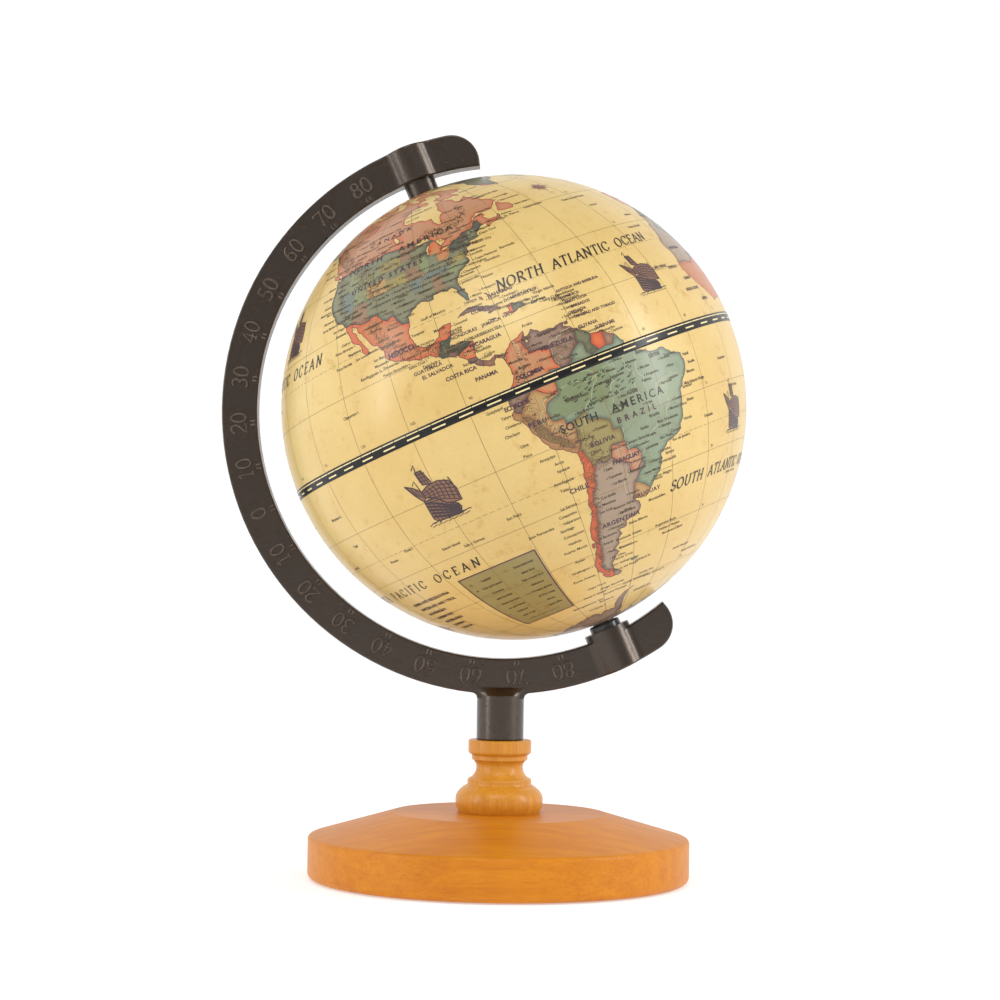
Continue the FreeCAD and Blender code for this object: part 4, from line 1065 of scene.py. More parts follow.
def write(marks, text, lon, lat, size, bold=0.0, span=0, side=0):
    """Lettering along a parallel, centred on a place or, with side 1 or -1, just east or west of it.

    With a span in degrees its letters are spread to fill it.
    """
    points, faces = letter_mesh(text, size, bold)
    if side:
        shift = side * (0.5 + max(x for x, _ in points))
        points = [(x + shift, y) for x, y in points]
    if span:
        width = max(x for x, _ in points) - min(x for x, _ in points)
        wide, _ = letter_mesh(text, size, bold, gap=2.0)
        growth = max(x for x, _ in wide) - min(x for x, _ in wide) - width
        gap = 1.0 + (along_parallel(span, lat) - width) / growth
        points, faces = letter_mesh(text, size, bold, gap)
    first = len(marks.points)
    marks.points += [on_ball(*from_local(lon, lat, x, y), marks.height) for x, y in points]
    marks.faces += [tuple(first + i for i in face) for face in faces]


def arc(x, y, across, up, start, end, count=12):
    """Points of an elliptical arc about x, y, angles in degrees."""
    turns = [math.radians(start + (end - start) * i / count) for i in range(count + 1)]
    return [(x + across * math.cos(t), y + up * math.sin(t)) for t in turns]


def stem(x):
    """An upright stroke with short serifs."""
    return [[(x, 0), (x, 1)], [(x - 0.11, 0), (x + 0.11, 0)], [(x - 0.11, 1), (x + 0.11, 1)]]


BOWL = [(0.14, 1)] + arc(0.36, 0.74, 0.24, 0.26, 90, -90, 8) + [(0.14, 0.48)]
# Roman capitals on a height of 1, as (width, strokes).
CAPITALS = {
    "A": (0.82, [[(0.06, 0), (0.4, 1)], [(0.38, 1), (0.76, 0)], [(0.19, 0.34), (0.62, 0.34)],
                 [(-0.03, 0), (0.17, 0)], [(0.65, 0), (0.87, 0)]]),
    "C": (0.8, [arc(0.42, 0.5, 0.38, 0.5, 48, 312), [(0.7, 0.97), (0.68, 0.7)], [(0.68, 0.1), (0.71, 0.26)]]),
    "D": (0.86, stem(0.14) + [[(0.14, 1)] + arc(0.36, 0.5, 0.42, 0.5, 90, -90) + [(0.14, 0)]]),
    "E": (0.66, stem(0.14) + [[(0.14, 1), (0.58, 1), (0.58, 0.84)], [(0.14, 0.53), (0.46, 0.53)],
                              [(0.14, 0), (0.6, 0), (0.62, 0.18)]]),
    "F": (0.6, stem(0.14) + [[(0.14, 1), (0.56, 1), (0.56, 0.84)], [(0.14, 0.53), (0.44, 0.53)]]),
    "H": (0.84, stem(0.14) + stem(0.7) + [[(0.14, 0.53), (0.7, 0.53)]]),
    "I": (0.3, stem(0.14)),
    "L": (0.62, stem(0.14) + [[(0.14, 0), (0.56, 0), (0.58, 0.2)]]),
    "N": (0.86, [[(0.14, 0), (0.14, 1)], [(0.12, 1), (0.72, 0)], [(0.72, 0), (0.72, 1)],
                 [(0.02, 0), (0.26, 0)], [(0.0, 1), (0.16, 1)], [(0.6, 1), (0.84, 1)]]),
    "O": (0.88, [arc(0.42, 0.5, 0.38, 0.5, 0, 360, 18)]),
    "P": (0.66, stem(0.14) + [BOWL]),
    "R": (0.76, stem(0.14) + [BOWL, [(0.36, 0.48), (0.72, 0), (0.8, 0)]]),
    "S": (0.6, [arc(0.3, 0.74, 0.21, 0.25, 40, 240, 9) + arc(0.28, 0.26, 0.25, 0.25, 70, -140, 9),
                [(0.48, 0.98), (0.47, 0.78)], [(0.06, 0.24), (0.06, 0.02)]]),
    "T": (0.74, stem(0.36) + [[(0.04, 0.84), (0.04, 1), (0.68, 1), (0.68, 0.84)]]),
    "U": (0.84, [[(0.14, 1), (0.14, 0.34)] + arc(0.41, 0.32, 0.27, 0.31, 180, 360, 8) + [(0.68, 1)],
                 [(0.02, 1), (0.26, 1)], [(0.58, 1), (0.78, 1)]]),
    " ": (0.7, []),
}
NIB_ANGLE = 25


def write_roman(marks, text, lon, lat, size, span):
    """Slanting roman capitals drawn with a broad nib along a parallel, spread over a span of degrees."""
    wanted = along_parallel(span, lat)
    width = sum(CAPITALS[letter][0] for letter in text) * size
    gap = (wanted - width) / (len(text) - 1)
    nib = Vector((math.cos(math.radians(NIB_ANGLE)), math.sin(math.radians(NIB_ANGLE))))
    x = -wanted / 2
    for letter in text:
        advance, strokes = CAPITALS[letter]
        for stroke in strokes:
            local = [Vector((x + size * (px + 0.24 * py), size * (py - 0.5))) for px, py in stroke]
            widths = []
            for i in range(len(local)):
                run = local[min(i + 1, len(local) - 1)] - local[max(i - 1, 0)]
                broad = abs(run.x * nib.y - run.y * nib.x) / run.length
                widths.append((0.055 + 0.14 * broad) * size * MM)
            marks.strip([on_ball(*from_local(lon, lat, *p), marks.height) for p in local], widths)
        x += advance * size + gap


# Names: longitude, latitude, size in mm, span in degrees or 0, text.
CONTINENT_NAMES = """
    -110 47.5 3.1 14.5 NORTH, -86 47.4 3.1 20.5 AMERICA, -67.6 -12 3.3 9.4 SOUTH,
    -51.6 -11.9 3.3 15 AMERICA, 20 50.5 3 26 E U R O P E, 88 48 3.6 40 A S I A, 20 12 3.6 34 A F R I C A,
    134 -25.5 3.2 30 AUSTRALIA, 60 -78 2.8 130 ANTARCTICA"""
COUNTRY_NAMES = """
    -100 54 2.3 19.5 CANADA, -101.6 40.4 2.4 25.8 UNITED STATES, -100.6 19.2 2.3 7.2 MEXICO,
    -74 2.6 1.8 6.9 COLOMBIA, -65.6 6.6 1.8 8.4 VENEZUELA, -63.6 -17.9 1.9 6.5 BOLIVIA,
    -58.7 -23.8 1.9 8 PARAGUAY, -63.6 -38.4 2 12.6 ARGENTINA, -72.9 -26.4 2.1 5.2 CHILE,
    -54.4 -34 1.8 9.2 URUGUAY, -79.4 -3 1.8 6.2 ECUADOR, -76.6 -8.4 2 4.4 PERU, -53 -14.9 2.4 11.2 BRAZIL,
    -79.2 20.9 1.6 0 CUBA, -72.4 23.3 1.6 0 BAHAMAS, -77.4 17.1 1.4 0 JAMAICA, -73 17.2 1.3 0 HAITI,
    -68 20.7 1.3 0 DOMINICAN REP., -95.4 12.7 1.5 0 GUATEMALA, -93.4 11.2 1.5 0 EL SALVADOR,
    -84.4 17 1.4 0 HONDURAS, -80.4 13.5 1.6 0 NICARAGUA, -88.4 8.6 1.6 0 COSTA RICA, -83.2 5.9 1.6 0 PANAMA,
    -86 18 1.2 0 BELIZE, -56.6 8.2 1.5 0 GUYANA, -52.6 6.8 1.4 0 SURINAME, -42 72 2.2 22 GREENLAND,
    -18.5 62.3 1.5 0 ICELAND, -4 40 1.6 0 SPAIN, 2.5 46.5 1.6 0 FRANCE, 10 51.5 1.5 0 GERMANY,
    96 62 2.8 60 RUSSIA, 102 34 2.6 24 CHINA, 78.5 21.5 2.4 10 INDIA, 103 46.4 1.8 0 MONGOLIA,
    66 47.5 1.9 18 KAZAKHSTAN, 54 32.5 1.9 0 IRAN, 45 23.5 1.7 0 SAUDI ARABIA, 35 39 1.6 0 TURKEY,
    30 26.5 1.7 0 EGYPT, 17.5 27 1.9 0 LIBYA, 3 28 2 0 ALGERIA, 30 16 1.9 0 SUDAN, 8 9 1.6 0 NIGERIA,
    23 -3 1.9 0 CONGO, 40 8.5 1.6 0 ETHIOPIA, 38 0.2 1.4 0 KENYA, 18 -12.5 1.8 0 ANGOLA,
    27 -14.5 1.5 0 ZAMBIA, 17 -21.5 1.6 0 NAMIBIA, 24 -30 1.7 0 SOUTH AFRICA, 47 -20 1.4 0 MADAGASCAR,
    114 -0.4 1.7 16 INDONESIA, 101.5 16 1.4 0 THAILAND, 140.5 34.5 1.6 0 JAPAN, 123 12 1.4 0 PHILIPPINES,
    173 -43.6 1.6 0 NEW ZEALAND, 144 -6 1.3 0 PAPUA NEW GUINEA, -3 18 1.6 0 MALI, -7 31.5 1.4 0 MOROCCO,
    -11.5 20 1.4 0 MAURITANIA, -21.5 14.8 1.3 0 SENEGAL, -18 11.2 1.3 0 GUINEA,
    -18.6 8.3 1.3 0 SIERRA LEONE, -14.8 5.3 1.3 0 LIBERIA, -27 15.6 1.3 0 CAPE VERDE,
    -55.8 13.4 1.2 0 BARBADOS, -56.2 14.8 1.2 0 SAINT LUCIA, -57.4 12.1 1.2 0 GRENADA,
    -53.2 10.8 1.2 0 TRINIDAD AND TOBAGO, -57.2 16.2 1.2 0 DOMINICA, -53.8 18.1 1.2 0 ANTIGUA AND BARBUDA,
    -171 -15.5 1.3 0 SAMOA, 178 -19.3 1.4 0 FIJI, -175 -22.5 1.3 0 TONGA"""
SIDE_LIST = (
    "BOSNIA AND HERZEGOVINA", "SWITZERLAND AND TYROL", "MONTENEGRO", "LUXEMBOURG", "NETHERLANDS", "SLOVENIA",
    "CROATIA",
)
SIDE_LIST_PLACE = (-144.9, -38.6)
# Small names: longitude, latitude, text.
SMALL_NAMES = """
    -64.4 34.6 Bermuda, -70 32.6 Hamilton, -73.4 28.6 Nassau, -80 23.9 Havana, -74 41.2 New York,
    -72.6 39.4 Washington, -69.6 42.9 Boston, -66.6 41.4 Cape Cod, -84 33.4 Atlanta, -90 41.9 Chicago,
    -122 37.6 San Francisco, -117.6 33.9 Los Angeles, -121.6 47.6 Seattle, -105 39.6 Denver,
    -96.6 32.7 Dallas, -95.4 30.2 Houston, -90 31.4 Jackson, -112 33.4 Phoenix, -93.4 44.9 Minneapolis,
    -81.6 27.6 Tampa, -100.4 25.7 Monterrey, -103.6 22 Zacatecas, -106.2 28.6 Chihuahua, -98.6 17 Acapulco,
    -89.6 20.4 Merida, -90 24.4 Gulf of Mexico, -110 17 Revillagigedo Is., -118 22 Roca Partida,
    -119 10.4 Clipperton I., -79.4 15.3 CARIBBEAN SEA, -70 13.3 Aruba, -66 18.9 San Juan,
    -62.4 19.8 Virgin Islands, -58 17.2 Guadeloupe, -57.4 15.5 Martinique, -85.6 10.1 San Jose,
    -80.6 10.4 Colon, -67.4 9.8 Caracas, -74.4 4.6 Bogota, -75.8 6.4 Medellin, -77 4 Cali, -79.6 -1 Quito,
    -84.6 -2.2 Guayaquil, -84.4 0.6 Galapagos, -70 -3.3 Leticia, -60.4 -2.7 Manaus, -66 -6.4 Amazon Basin,
    -55 -5 Santarem, -47 -1.9 Belem, -43.4 -3.8 Sao Luis, -38.8 -4.6 Fortaleza, -33.6 -5.9 Natal,
    -32.4 -8 Recife, -33.6 -10 Maceio, -36 -13 Salvador, -36 -16.2 Ilheus, -38 -20.2 Vitoria,
    -42.6 -21.8 Campos, -41 -24 Rio de Janeiro, -46 -22.4 Sao Paulo, -45.6 -26.4 Santos, -47.8 -8.4 Palmas,
    -56.4 -11.6 Cuiaba, -48.4 -16.6 Brasilia, -44.6 -18.6 Belo Horizonte, -52 -18.6 Goias,
    -54.6 -20.6 Campo Grande, -51 -23.4 Londrina, -46.6 -28 Florianopolis, -48.6 -31 Porto Alegre,
    -51 -36.4 Montevideo, -62 -34.8 Buenos Aires, -61.8 -36.4 La Plata, -66 -31 Cordoba,
    -67.6 -34.4 San Luis, -58 -40.4 Bahia Blanca, -61.6 -43.8 Peninsula Valdes, -62 -46.6 Comodoro,
    -64 -49.6 Santa Cruz, -63.6 -53.4 Tierra del Fuego, -55.6 -53 Falkland Is., -34 -54.6 South Georgia,
    -24 -57 South Sandwich Is., -47 -44.4 Argentine Basin, -45 -46 Falkland Plateau,
    -43 -47.6 Burdwood Bank, -52 -58.8 Scotia Sea, -57 -60.4 South Shetland Is., -46 -60.8 South Orkney Is.,
    -70 -58.6 Diego Ramirez, -79 -60 Peter I. Island, -84 -63.4 Bellingshausen Sea, -73.6 -64.6 Biscoe Is.,
    -50 -66 Weddell Sea, -80 -67.4 Adelaide I., -83 -8.8 Chiclayo, -81.4 -12 Lima, -81.6 -14.4 Pisco,
    -77.6 -16.8 Arequipa, -75.4 -18.8 Arica, -75 -20.6 Iquique, -76 -23.4 Antofagasta, -76.4 -25.4 Taltal,
    -77 -29.6 La Serena, -78 -31.6 Coquimbo, -77.6 -33.4 Valparaiso, -79.6 -35.2 Santiago,
    -78.4 -37.2 Concepcion, -79 -39.4 Valdivia, -79.6 -41.6 Puerto Montt, -79.6 -45.4 Aysen,
    -80 -48.8 Wellington I., -80.6 -52 Punta Arenas, -77 -56.6 Cape Horn, -68.4 -61.6 Drake Passage,
    -110.4 -27.2 Easter Island, -104 -28.6 Sala y Gomez, -122.4 -23.8 Ducie I., -91 -26.6 San Felix,
    -86.6 -33.4 Juan Fernandez, -130 -25 Pitcairn, -140 -17.6 Tahiti, -140 -9.6 Marquesas Is.,
    -158 20.6 Hawaii, -150 -22.6 Austral Is., -163 -9 Cook Is., -18.6 -9.4 Ascension,
    -14 -16.4 Saint Helena, -29.6 -21.4 Trindade, -33 -12.4 Mid-Atlantic Ridge,
    -12.6 -37.4 Tristan da Cunha, -27 38.6 Azores, -17.6 32.6 Madeira, -22 28.4 Canary Islands,
    -30 43 Cape Farewell Route, -47 44.6 Grand Banks, -56 44 St. Pierre, -66 48 Gaspe, -72.6 46.2 Quebec,
    -76 45.4 Ottawa, -79.6 44.3 Toronto, -86 60 HUDSON BAY, -97 49.9 Winnipeg, -113 51.2 Calgary,
    -122 49.9 Vancouver, -114 62.9 Yellowknife, -150 61.6 Anchorage, -56 56 LABRADOR SEA,
    -58 62.6 Davis Strait, -68 74 BAFFIN BAY, 0 52.6 London, 4 49 Paris, 13 42.4 Rome, 37 56 Moscow,
    30 31.6 Cairo, 3 6.9 Lagos, 18.6 -33 Cape Town, 32 15 Khartoum, 55 26 Dubai, 73 19.4 Mumbai,
    88 23 Kolkata, 116 40.4 Beijing, 121.6 31.6 Shanghai, 139 36.2 Tokyo, 100.6 14 Bangkok, 104 2 Singapore,
    107 -6.6 Jakarta, 151 -33.4 Sydney, 116 -31.4 Perth, 145 -37.4 Melbourne, 174.6 -36.4 Auckland,
    88 12 BAY OF BENGAL, 64 15 ARABIAN SEA, 114 13 SOUTH CHINA SEA, 160 -38 TASMAN SEA, 55 -20.6 Mauritius,
    70 -49 Kerguelen, 73 4 Maldives, -174 58 BERING SEA, 170 15 Wake I., 167 -22 New Caledonia"""
# Towns with a dot at their place and the name beside it.
NAMES_TO_THE_EAST = """
    -122.7 45.5 Portland, -112 46.6 Helena, -106.6 45.4 Billings, -100.8 46.4 Bismarck, -95.8 46.2 Fargo,
    -92.1 46.3 Duluth, -123 44 Eugene, -116.2 43.9 Boise, -109.6 44.5 Cody, -103.2 44 Rapid City,
    -93.4 43.6 Saint Paul, -121.6 42.2 Medford, -114.4 42.4 Twin Falls, -106.3 42.6 Casper,
    -98.6 42.4 Sioux City, -90.6 43.2 Madison, -83 42.6 Detroit, -76.4 43.2 Albany, -121 40.2 Reno,
    -85.6 41.2 Fort Wayne, -81.4 40.6 Columbus, -76.2 40.4 Trenton, -121.5 38.4 Sacramento, -114.6 38.6 Ely,
    -109 38.6 Grand Junction, -103.4 38.2 Pueblo, -97.4 38.6 Topeka, -91.8 38.5 Saint Louis,
    -85.4 38.3 Louisville, -79 38.2 Richmond, -119.8 36.9 Fresno, -113.4 37.2 Cedar City, -107.4 37 Durango,
    -101.6 37.2 Liberal, -96 36.9 Springfield, -88.8 37 Paducah, -83.4 36.9 Bristol, -118 35.4 Bakersfield,
    -111.6 35.6 Flagstaff, -105.8 35.7 Santa Fe, -100.4 35.6 Amarillo, -95.6 35.4 Tulsa, -90 35.4 Memphis,
    -84.8 35.5 Knoxville, -80.2 35.3 Raleigh, -115.6 34 Needles, -107.6 34.2 Albuquerque,
    -101.2 34.1 Lubbock, -96.8 34.2 Ardmore, -92.4 34 Little Rock, -87.4 34 Birmingham, -116 32.6 Yuma,
    -110.9 32.3 Tucson, -106.4 31.9 El Paso, -101 32.6 Midland, -93.6 32.4 Shreveport,
    -86.4 32.2 Montgomery, -104 30.9 Pecos, -99.6 31.2 Austin, -91.6 30.4 Baton Rouge,
    -100.4 29.2 San Antonio, -98.6 27.8 Laredo, -111 29.4 Hermosillo, -109.4 28 Guaymas,
    -103.4 27.4 Torreon, -107.4 24.8 Culiacan, -102.4 24.4 Saltillo, -104.4 23 Durango, -101.6 21.4 Leon,
    -103.3 20.4 Guadalajara, -99.2 19.4 Toluca, -96.8 17.6 Oaxaca, -93 16.9 Tuxtla, -89.4 19.4 Campeche,
    -97.9 22.3 Tampico, -96.1 19.2 Veracruz, -94.4 18.1 Minatitlan, -86.9 20.6 Cozumel, -90.5 14.7 Antigua,
    -87.2 14.2 Tegucigalpa, -85.9 12.9 Matagalpa, -83.8 12 Bluefields, -83 10 Limon, -79.6 9 Balboa,
    -86.8 15.8 La Ceiba, -82.4 23.1 Matanzas, -78 21.4 Camaguey, -75.8 20 Santiago, -72.3 19.6 Cap Haitien,
    -70 18.5 Santo Domingo, -66.1 18.4 Ponce, -64.8 17.7 Saint Croix, -62.7 17.2 Nevis,
    -62.2 16.7 Montserrat, -61.4 15.2 Roseau, -60.9 13.8 Castries, -61.6 11.9 Saint George,
    -60.8 11.1 Scarborough, -71.1 21.8 Grand Turk, -77.4 26.6 Freeport, -76.8 23.4 Exuma,
    -73.6 22.6 Crooked I., -80.2 25.8 Miami, -81.4 30.3 Jacksonville, -81.1 32 Savannah,
    -79.9 32.8 Charleston, -77.9 34.2 Wilmington, -75.5 35.2 Cape Hatteras, -76.2 36.9 Norfolk,
    -75.6 38 Baltimore, -74.2 39.9 Atlantic City, -70.2 43.7 Augusta, -66 45.2 Saint John,
    -63.6 44.6 Halifax, -60.2 46.1 Sydney, -52.7 47.5 Saint John's, -55.6 51.3 Saint Anthony,
    -56.6 53.6 Cartwright, -61.6 56.6 Nain, -66.4 50.2 Sept-Iles, -68.4 58.2 Fort Chimo,
    -77.6 55.4 Great Whale, -79 51.2 Moosonee, -85 49.8 Nakina, -89.2 48.4 Thunder Bay,
    -94.2 58.7 Churchill, -97.8 55.8 Thompson, -101.2 54 The Pas, -104.6 50.4 Regina, -106.6 52.4 Saskatoon,
    -113.4 53.6 Edmonton, -110.6 50 Medicine Hat, -119.4 50.8 Kamloops, -122.6 54 Prince George,
    -117.2 56.4 Peace River, -111.4 57 Fort McMurray, -122.6 58.8 Fort Nelson, -105.6 57 Uranium City,
    -102 60.6 Nueltin, -96 62.8 Rankin Inlet, -135 60.7 Whitehorse, -128.8 60.2 Watson Lake,
    -126.8 65.2 Norman Wells, -115 67.8 Coppermine, -95.8 64.3 Baker Lake, -66 2.8 Boa Vista,
    -63.4 8 Ciudad Bolivar, -69.4 10 Barquisimeto, -66.4 8.6 San Fernando, -71.6 8.2 Merida,
    -73 7 Bucaramanga, -74.8 10.4 Cartagena, -71.4 4.4 Villavicencio, -76.6 2.2 Popayan,
    -58.2 6.6 Georgetown, -55.2 5.6 Paramaribo, -52.4 4.8 Cayenne, -51.2 0.9 Macapa, -55.4 -1.7 Obidos,
    -57.6 -3.4 Maues, -64.6 -3.4 Tefe, -69 -6 Carauari, -63.8 -8.8 Porto Velho, -67.8 -9.8 Rio Branco,
    -61 -5.4 Humaita, -52.4 -3.2 Altamira, -49 -5.4 Maraba, -48 -7.3 Araguaina, -42.8 -5 Teresina,
    -41 -7.2 Picos, -45 -3.4 Bacabal, -44.6 -10.4 Barreiras, -41.6 -9.9 Juazeiro, -53.6 -9.4 Xingu,
    -56.4 -9.9 Alta Floresta, -59.6 -12.8 Vilhena, -50.6 -13.4 Goias, -43.8 -16.7 Montes Claros,
    -42 -14.9 Caetite, -47.8 -19.8 Uberaba, -51.4 -20.7 Jupia, -56 -22 Dourados, -49.2 -25.4 Curitiba,
    -52.4 -27 Chapeco, -55 -29.2 Santa Maria, -52.4 -31.6 Pelotas, -75.2 -12 Huancayo, -72 -13.5 Cuzco,
    -70 -15.8 Puno, -74.6 -8.4 Pucallpa, -73.2 -3.8 Iquitos, -68.2 -16 La Paz, -65 -14.8 Trinidad,
    -67.2 -19.6 Sucre, -63.2 -20.6 Santa Cruz, -65.8 -21.6 Potosi, -65.4 -24.7 Salta, -65.2 -26.8 Tucuman,
    -59 -27.4 Resistencia, -64.2 -28.6 La Banda, -57.6 -25.3 Asuncion, -60.6 -32.6 Rosario,
    -68.8 -32.7 Mendoza, -64.3 -36.6 Santa Rosa, -68 -39.8 Neuquen, -71 -41.4 Bariloche, -71.2 -43.4 Esquel,
    -70.2 -46.4 Perito Moreno, -69.4 -48.6 San Julian, -69.2 -51.4 Rio Gallegos"""
NAMES_TO_THE_WEST = """
    -124 46.2 Astoria, -124.4 43.4 Coos Bay, -124.1 40.8 Eureka, -123.8 39.2 Mendocino,
    -121.9 36.3 Monterey, -120.5 34.5 Santa Barbara, -117.2 32.7 San Diego, -116.6 31.2 Ensenada,
    -115.2 28.2 Cedros, -114.4 26.7 Punta Abreojos, -112 25 Magdalena, -110 23 San Lucas,
    -106.4 23.2 Mazatlan, -105.3 20.6 San Blas, -104.3 19 Manzanillo, -101.6 17.6 Zihuatanejo,
    -99.6 15.9 Puerto Escondido, -95.2 14.9 Salina Cruz, -92.3 13.7 Tapachula, -130.4 54.3 Prince Rupert,
    -128 51.4 Port Hardy, -134.6 57 Sitka, -139.6 59.5 Yakutat, -80.9 -0.6 Manta, -81.2 -4.6 Talara,
    -79.6 -6.8 Chimbote"""
ROMAN_NAMES = """
    -48 25 3.1 49.5 NORTH ATLANTIC OCEAN, -19 -35.2 3.1 54 SOUTH ATLANTIC OCEAN,
    -157 27 3.2 60 NORTH PACIFIC OCEAN, -138.2 -33.7 2.9 63 SOUTH PACIFIC OCEAN, 80 -24 3.4 44 INDIAN OCEAN,
    -10 84 2 240 ARCTIC OCEAN, 90 -61 2.6 90 SOUTHERN OCEAN"""


def draw_names():
    """All names on the map, by ink, and the numbers of meridians and parallels."""
    black, purple, brown = Marks(0.05), Marks(0.046), Marks(0.042)
    for (lon, lat, size, span), text in read_names(CONTINENT_NAMES, 4):
        write(black, text, lon, lat, size, bold=0.05, span=span)
    for (lon, lat, size, span), text in read_names(ROMAN_NAMES, 4):
        write_roman(black, text, lon, lat, size, span)
    for (lon, lat, size, span), text in read_names(COUNTRY_NAMES, 4):
        write(purple, text, lon, lat, size, bold=0.045 if size > 1.5 else 0.03, span=span)
    lon, top = SIDE_LIST_PLACE
    for i, text in enumerate(SIDE_LIST):
        write(purple, text, lon, top - 2.2 * i, 1.5, bold=0.045, side=1)
    for (lon, lat), text in read_names(SMALL_NAMES, 2):
        write(brown, text, lon, lat, 1.25, bold=0.016)
    for side, names in ((1, NAMES_TO_THE_EAST), (-1, NAMES_TO_THE_WEST)):
        for town, text in read_names(names, 2):
            place = settled(*town)
            brown.dot(*place, 0.2)
            write(brown, text, *place, 1.15, bold=0.016, side=side)
    for lon in range(-165, 181, GRATICULE_STEP):
        write(brown, str(abs(lon)), lon + 1.6, 2.6, 1.2)
    for lat in range(-75, 76, GRATICULE_STEP):
        if lat:
            for lon in (-30, 150):
                write(brown, str(abs(lat)), lon + 1.5, lat + 1, 1.1)
    black.piece("names_in_black", ink("ink_black", (36, 32, 30), (60, 52, 46)))
    purple.piece("names_in_purple", ink("ink_plum", (56, 34, 50), (82, 52, 68)))
    brown.piece("names_in_brown", ink("ink_sepia", (52, 42, 28), (76, 62, 42)))


# ---- decorations of the map ----------------------------------------------------------------------

SHIP_PLACES = [(-105.9, -15.4, 1.0), (-34.6, 14.6, 0.8), (-15.2, -22.6, 0.85), (-146, 37, 0.95),
               (72, -12, 0.9), (170, 30, 0.9), (24, -48, 0.85)]
HULL = [(-4.3, 0.8), (-0.6, 0.6), (1.9, -2.0), (4.9, -3.3), (5.3, -4.6), (4.1, -6.3), (-3.6, -5.9),
        (-4.5, -4.9)]
MAIN_SAIL = [(-3.4, 3.6), (-1.2, 4.6), (2.4, 4.9), (5.4, 3.8), (6.6, 1.0), (6.5, -2.7), (3.8, -2.5),
             (1.9, -2.0), (-0.4, 0.7), (-3.2, 1.6)]
FORE_SAIL = [(-7.7, 6.9), (-5.4, 5.6), (-3.3, 3.6), (-3.2, 1.6), (-4.3, 0.8), (-6.0, 3.4)]
TOP_SAIL = [(-2.8, 9.3), (-0.7, 9.3), (0.8, 4.7), (-2.2, 5.4)]
SHIP_STROKES = [  # width, then strokes of the planks, sail ribs, masts, pennants and waves
    (0.7, [[(-4.2, 0.2 - 1.1 * i), (-1.2, -0.9 - 1.05 * i), (2.2, -2.9 - 0.75 * i), (4.9, -3.9 - 0.55 * i)]
           for i in range(5)]),
    (0.3, [[(-3.4 + 1.3 * i, 0.3 - 0.5 * i), (-3.2 + 1.2 * i, -5.8)] for i in range(7)]),
    (0.34, [[(-2.4 + 1.35 * i, 4.0 + 0.12 * i), (-1.6 + 1.3 * i, 2.6), (-1.8 + 1.3 * i, 0.9 - 0.55 * i)]
            for i in range(7)]),
    (0.28, [[(-3.2, 3.0 - 0.7 * i), (1.6, 3.9 - 1.1 * i), (6.3, 2.4 - 1.2 * i)] for i in range(5)]),
    (0.3, [[(-7.2 + 1.1 * i, 6.4 - 0.8 * i), (-5.4 + 0.6 * i, 3.0 - 0.4 * i)] for i in range(4)]),
    (0.3, [[(-2.4 + 0.7 * i, 9.1), (-1.7 + 0.75 * i, 5.2)] for i in range(3)]),
    (0.26, [[(-2.7, 8.6 - 1.1 * i), (0.0, 8.4 - 1.1 * i)] for i in range(3)]),
    (0.3, [[(-2.4, 9.4), (-2.1, 11.4), (-3.4, 10.2)], [(-3.6, 4.0), (-4.2, 7.3), (-5.2, 6.2)]]),
    (0.26, [[(-7.0 + 1.7 * i, -6.5 + 0.3 * (i % 2)), (-5.4 + 1.7 * i, -5.9), (-4.2 + 1.7 * i, -6.0)]
            for i in range(8)]),
    (0.2, [[(-6.4 + 1.9 * i, -7.1), (-4.6 + 1.9 * i, -6.7)] for i in range(7)]),
]


def draw_ships():
    """Small sailing ships: planked hull, three ribbed sails, pennants and waves."""
    dark, brown = Marks(0.05), Marks(0.04)
    for lon, lat, scale in SHIP_PLACES:
        put = placed(lon, lat, scale)
        for shape in (HULL, MAIN_SAIL, FORE_SAIL, TOP_SAIL):
            brown.area(shape, put)
            dark.line([put(x, y) for x, y in shape + shape[:1]], 0.36 * scale)
        for width, strokes in SHIP_STROKES:
            for stroke in strokes:
                dark.line([put(x, y) for x, y in stroke], width * scale)
    dark.piece("ship_hulls_and_lines", ink("ink_ship", (50, 36, 40), (72, 54, 56)))
    brown.piece("ship_sails", ink("ink_sail", (116, 80, 62), (144, 104, 80)))


COMPASS_STARS = ((-34, 51.5, 4.6), (-157, -50, 5.2), (92, -42, 4.6))  # longitude, latitude, radius in mm


def draw_compass_stars():
    """Stars of sixteen points, each half red and half blue, with a ring."""
    red, blue = Marks(0.05), Marks(0.046)
    for lon, lat, radius in COMPASS_STARS:
        put = placed(lon, lat)
        for i in range(16):
            turn = math.radians(22.5 * i)
            length = radius * (1.0 if i % 4 == 0 else 0.72 if i % 2 == 0 else 0.5)
            tip = (length * math.sin(turn), length * math.cos(turn))
            for side, marks in ((-1, red), (1, blue)):
                elbow = turn + side * math.radians(14)
                shoulder = (0.2 * radius * math.sin(elbow), 0.2 * radius * math.cos(elbow))
                marks.area([(0, 0), shoulder, tip], put)
        blue.line([put(x, y) for x, y in arc(0, 0, 0.42 * radius, 0.42 * radius, 0, 360, 24)], 0.14)
    red.piece("compass_red_points", ink("ink_red", (150, 52, 40), (176, 70, 54)))
    blue.piece("compass_blue_points", ink("ink_navy", (42, 44, 66), (60, 60, 84)))


KEY_WORDS = (
    ("Capital", "City and town", "Country", "and border", "State border", "or province", "Railway",
     "and road"),
    ("International", "date line", "Sea route and", "distance", "Tropic circle", "of the map", "River",
     "and lake"),
)
KEY_MARGIN = 2.6
KEY_ROW = 2.4


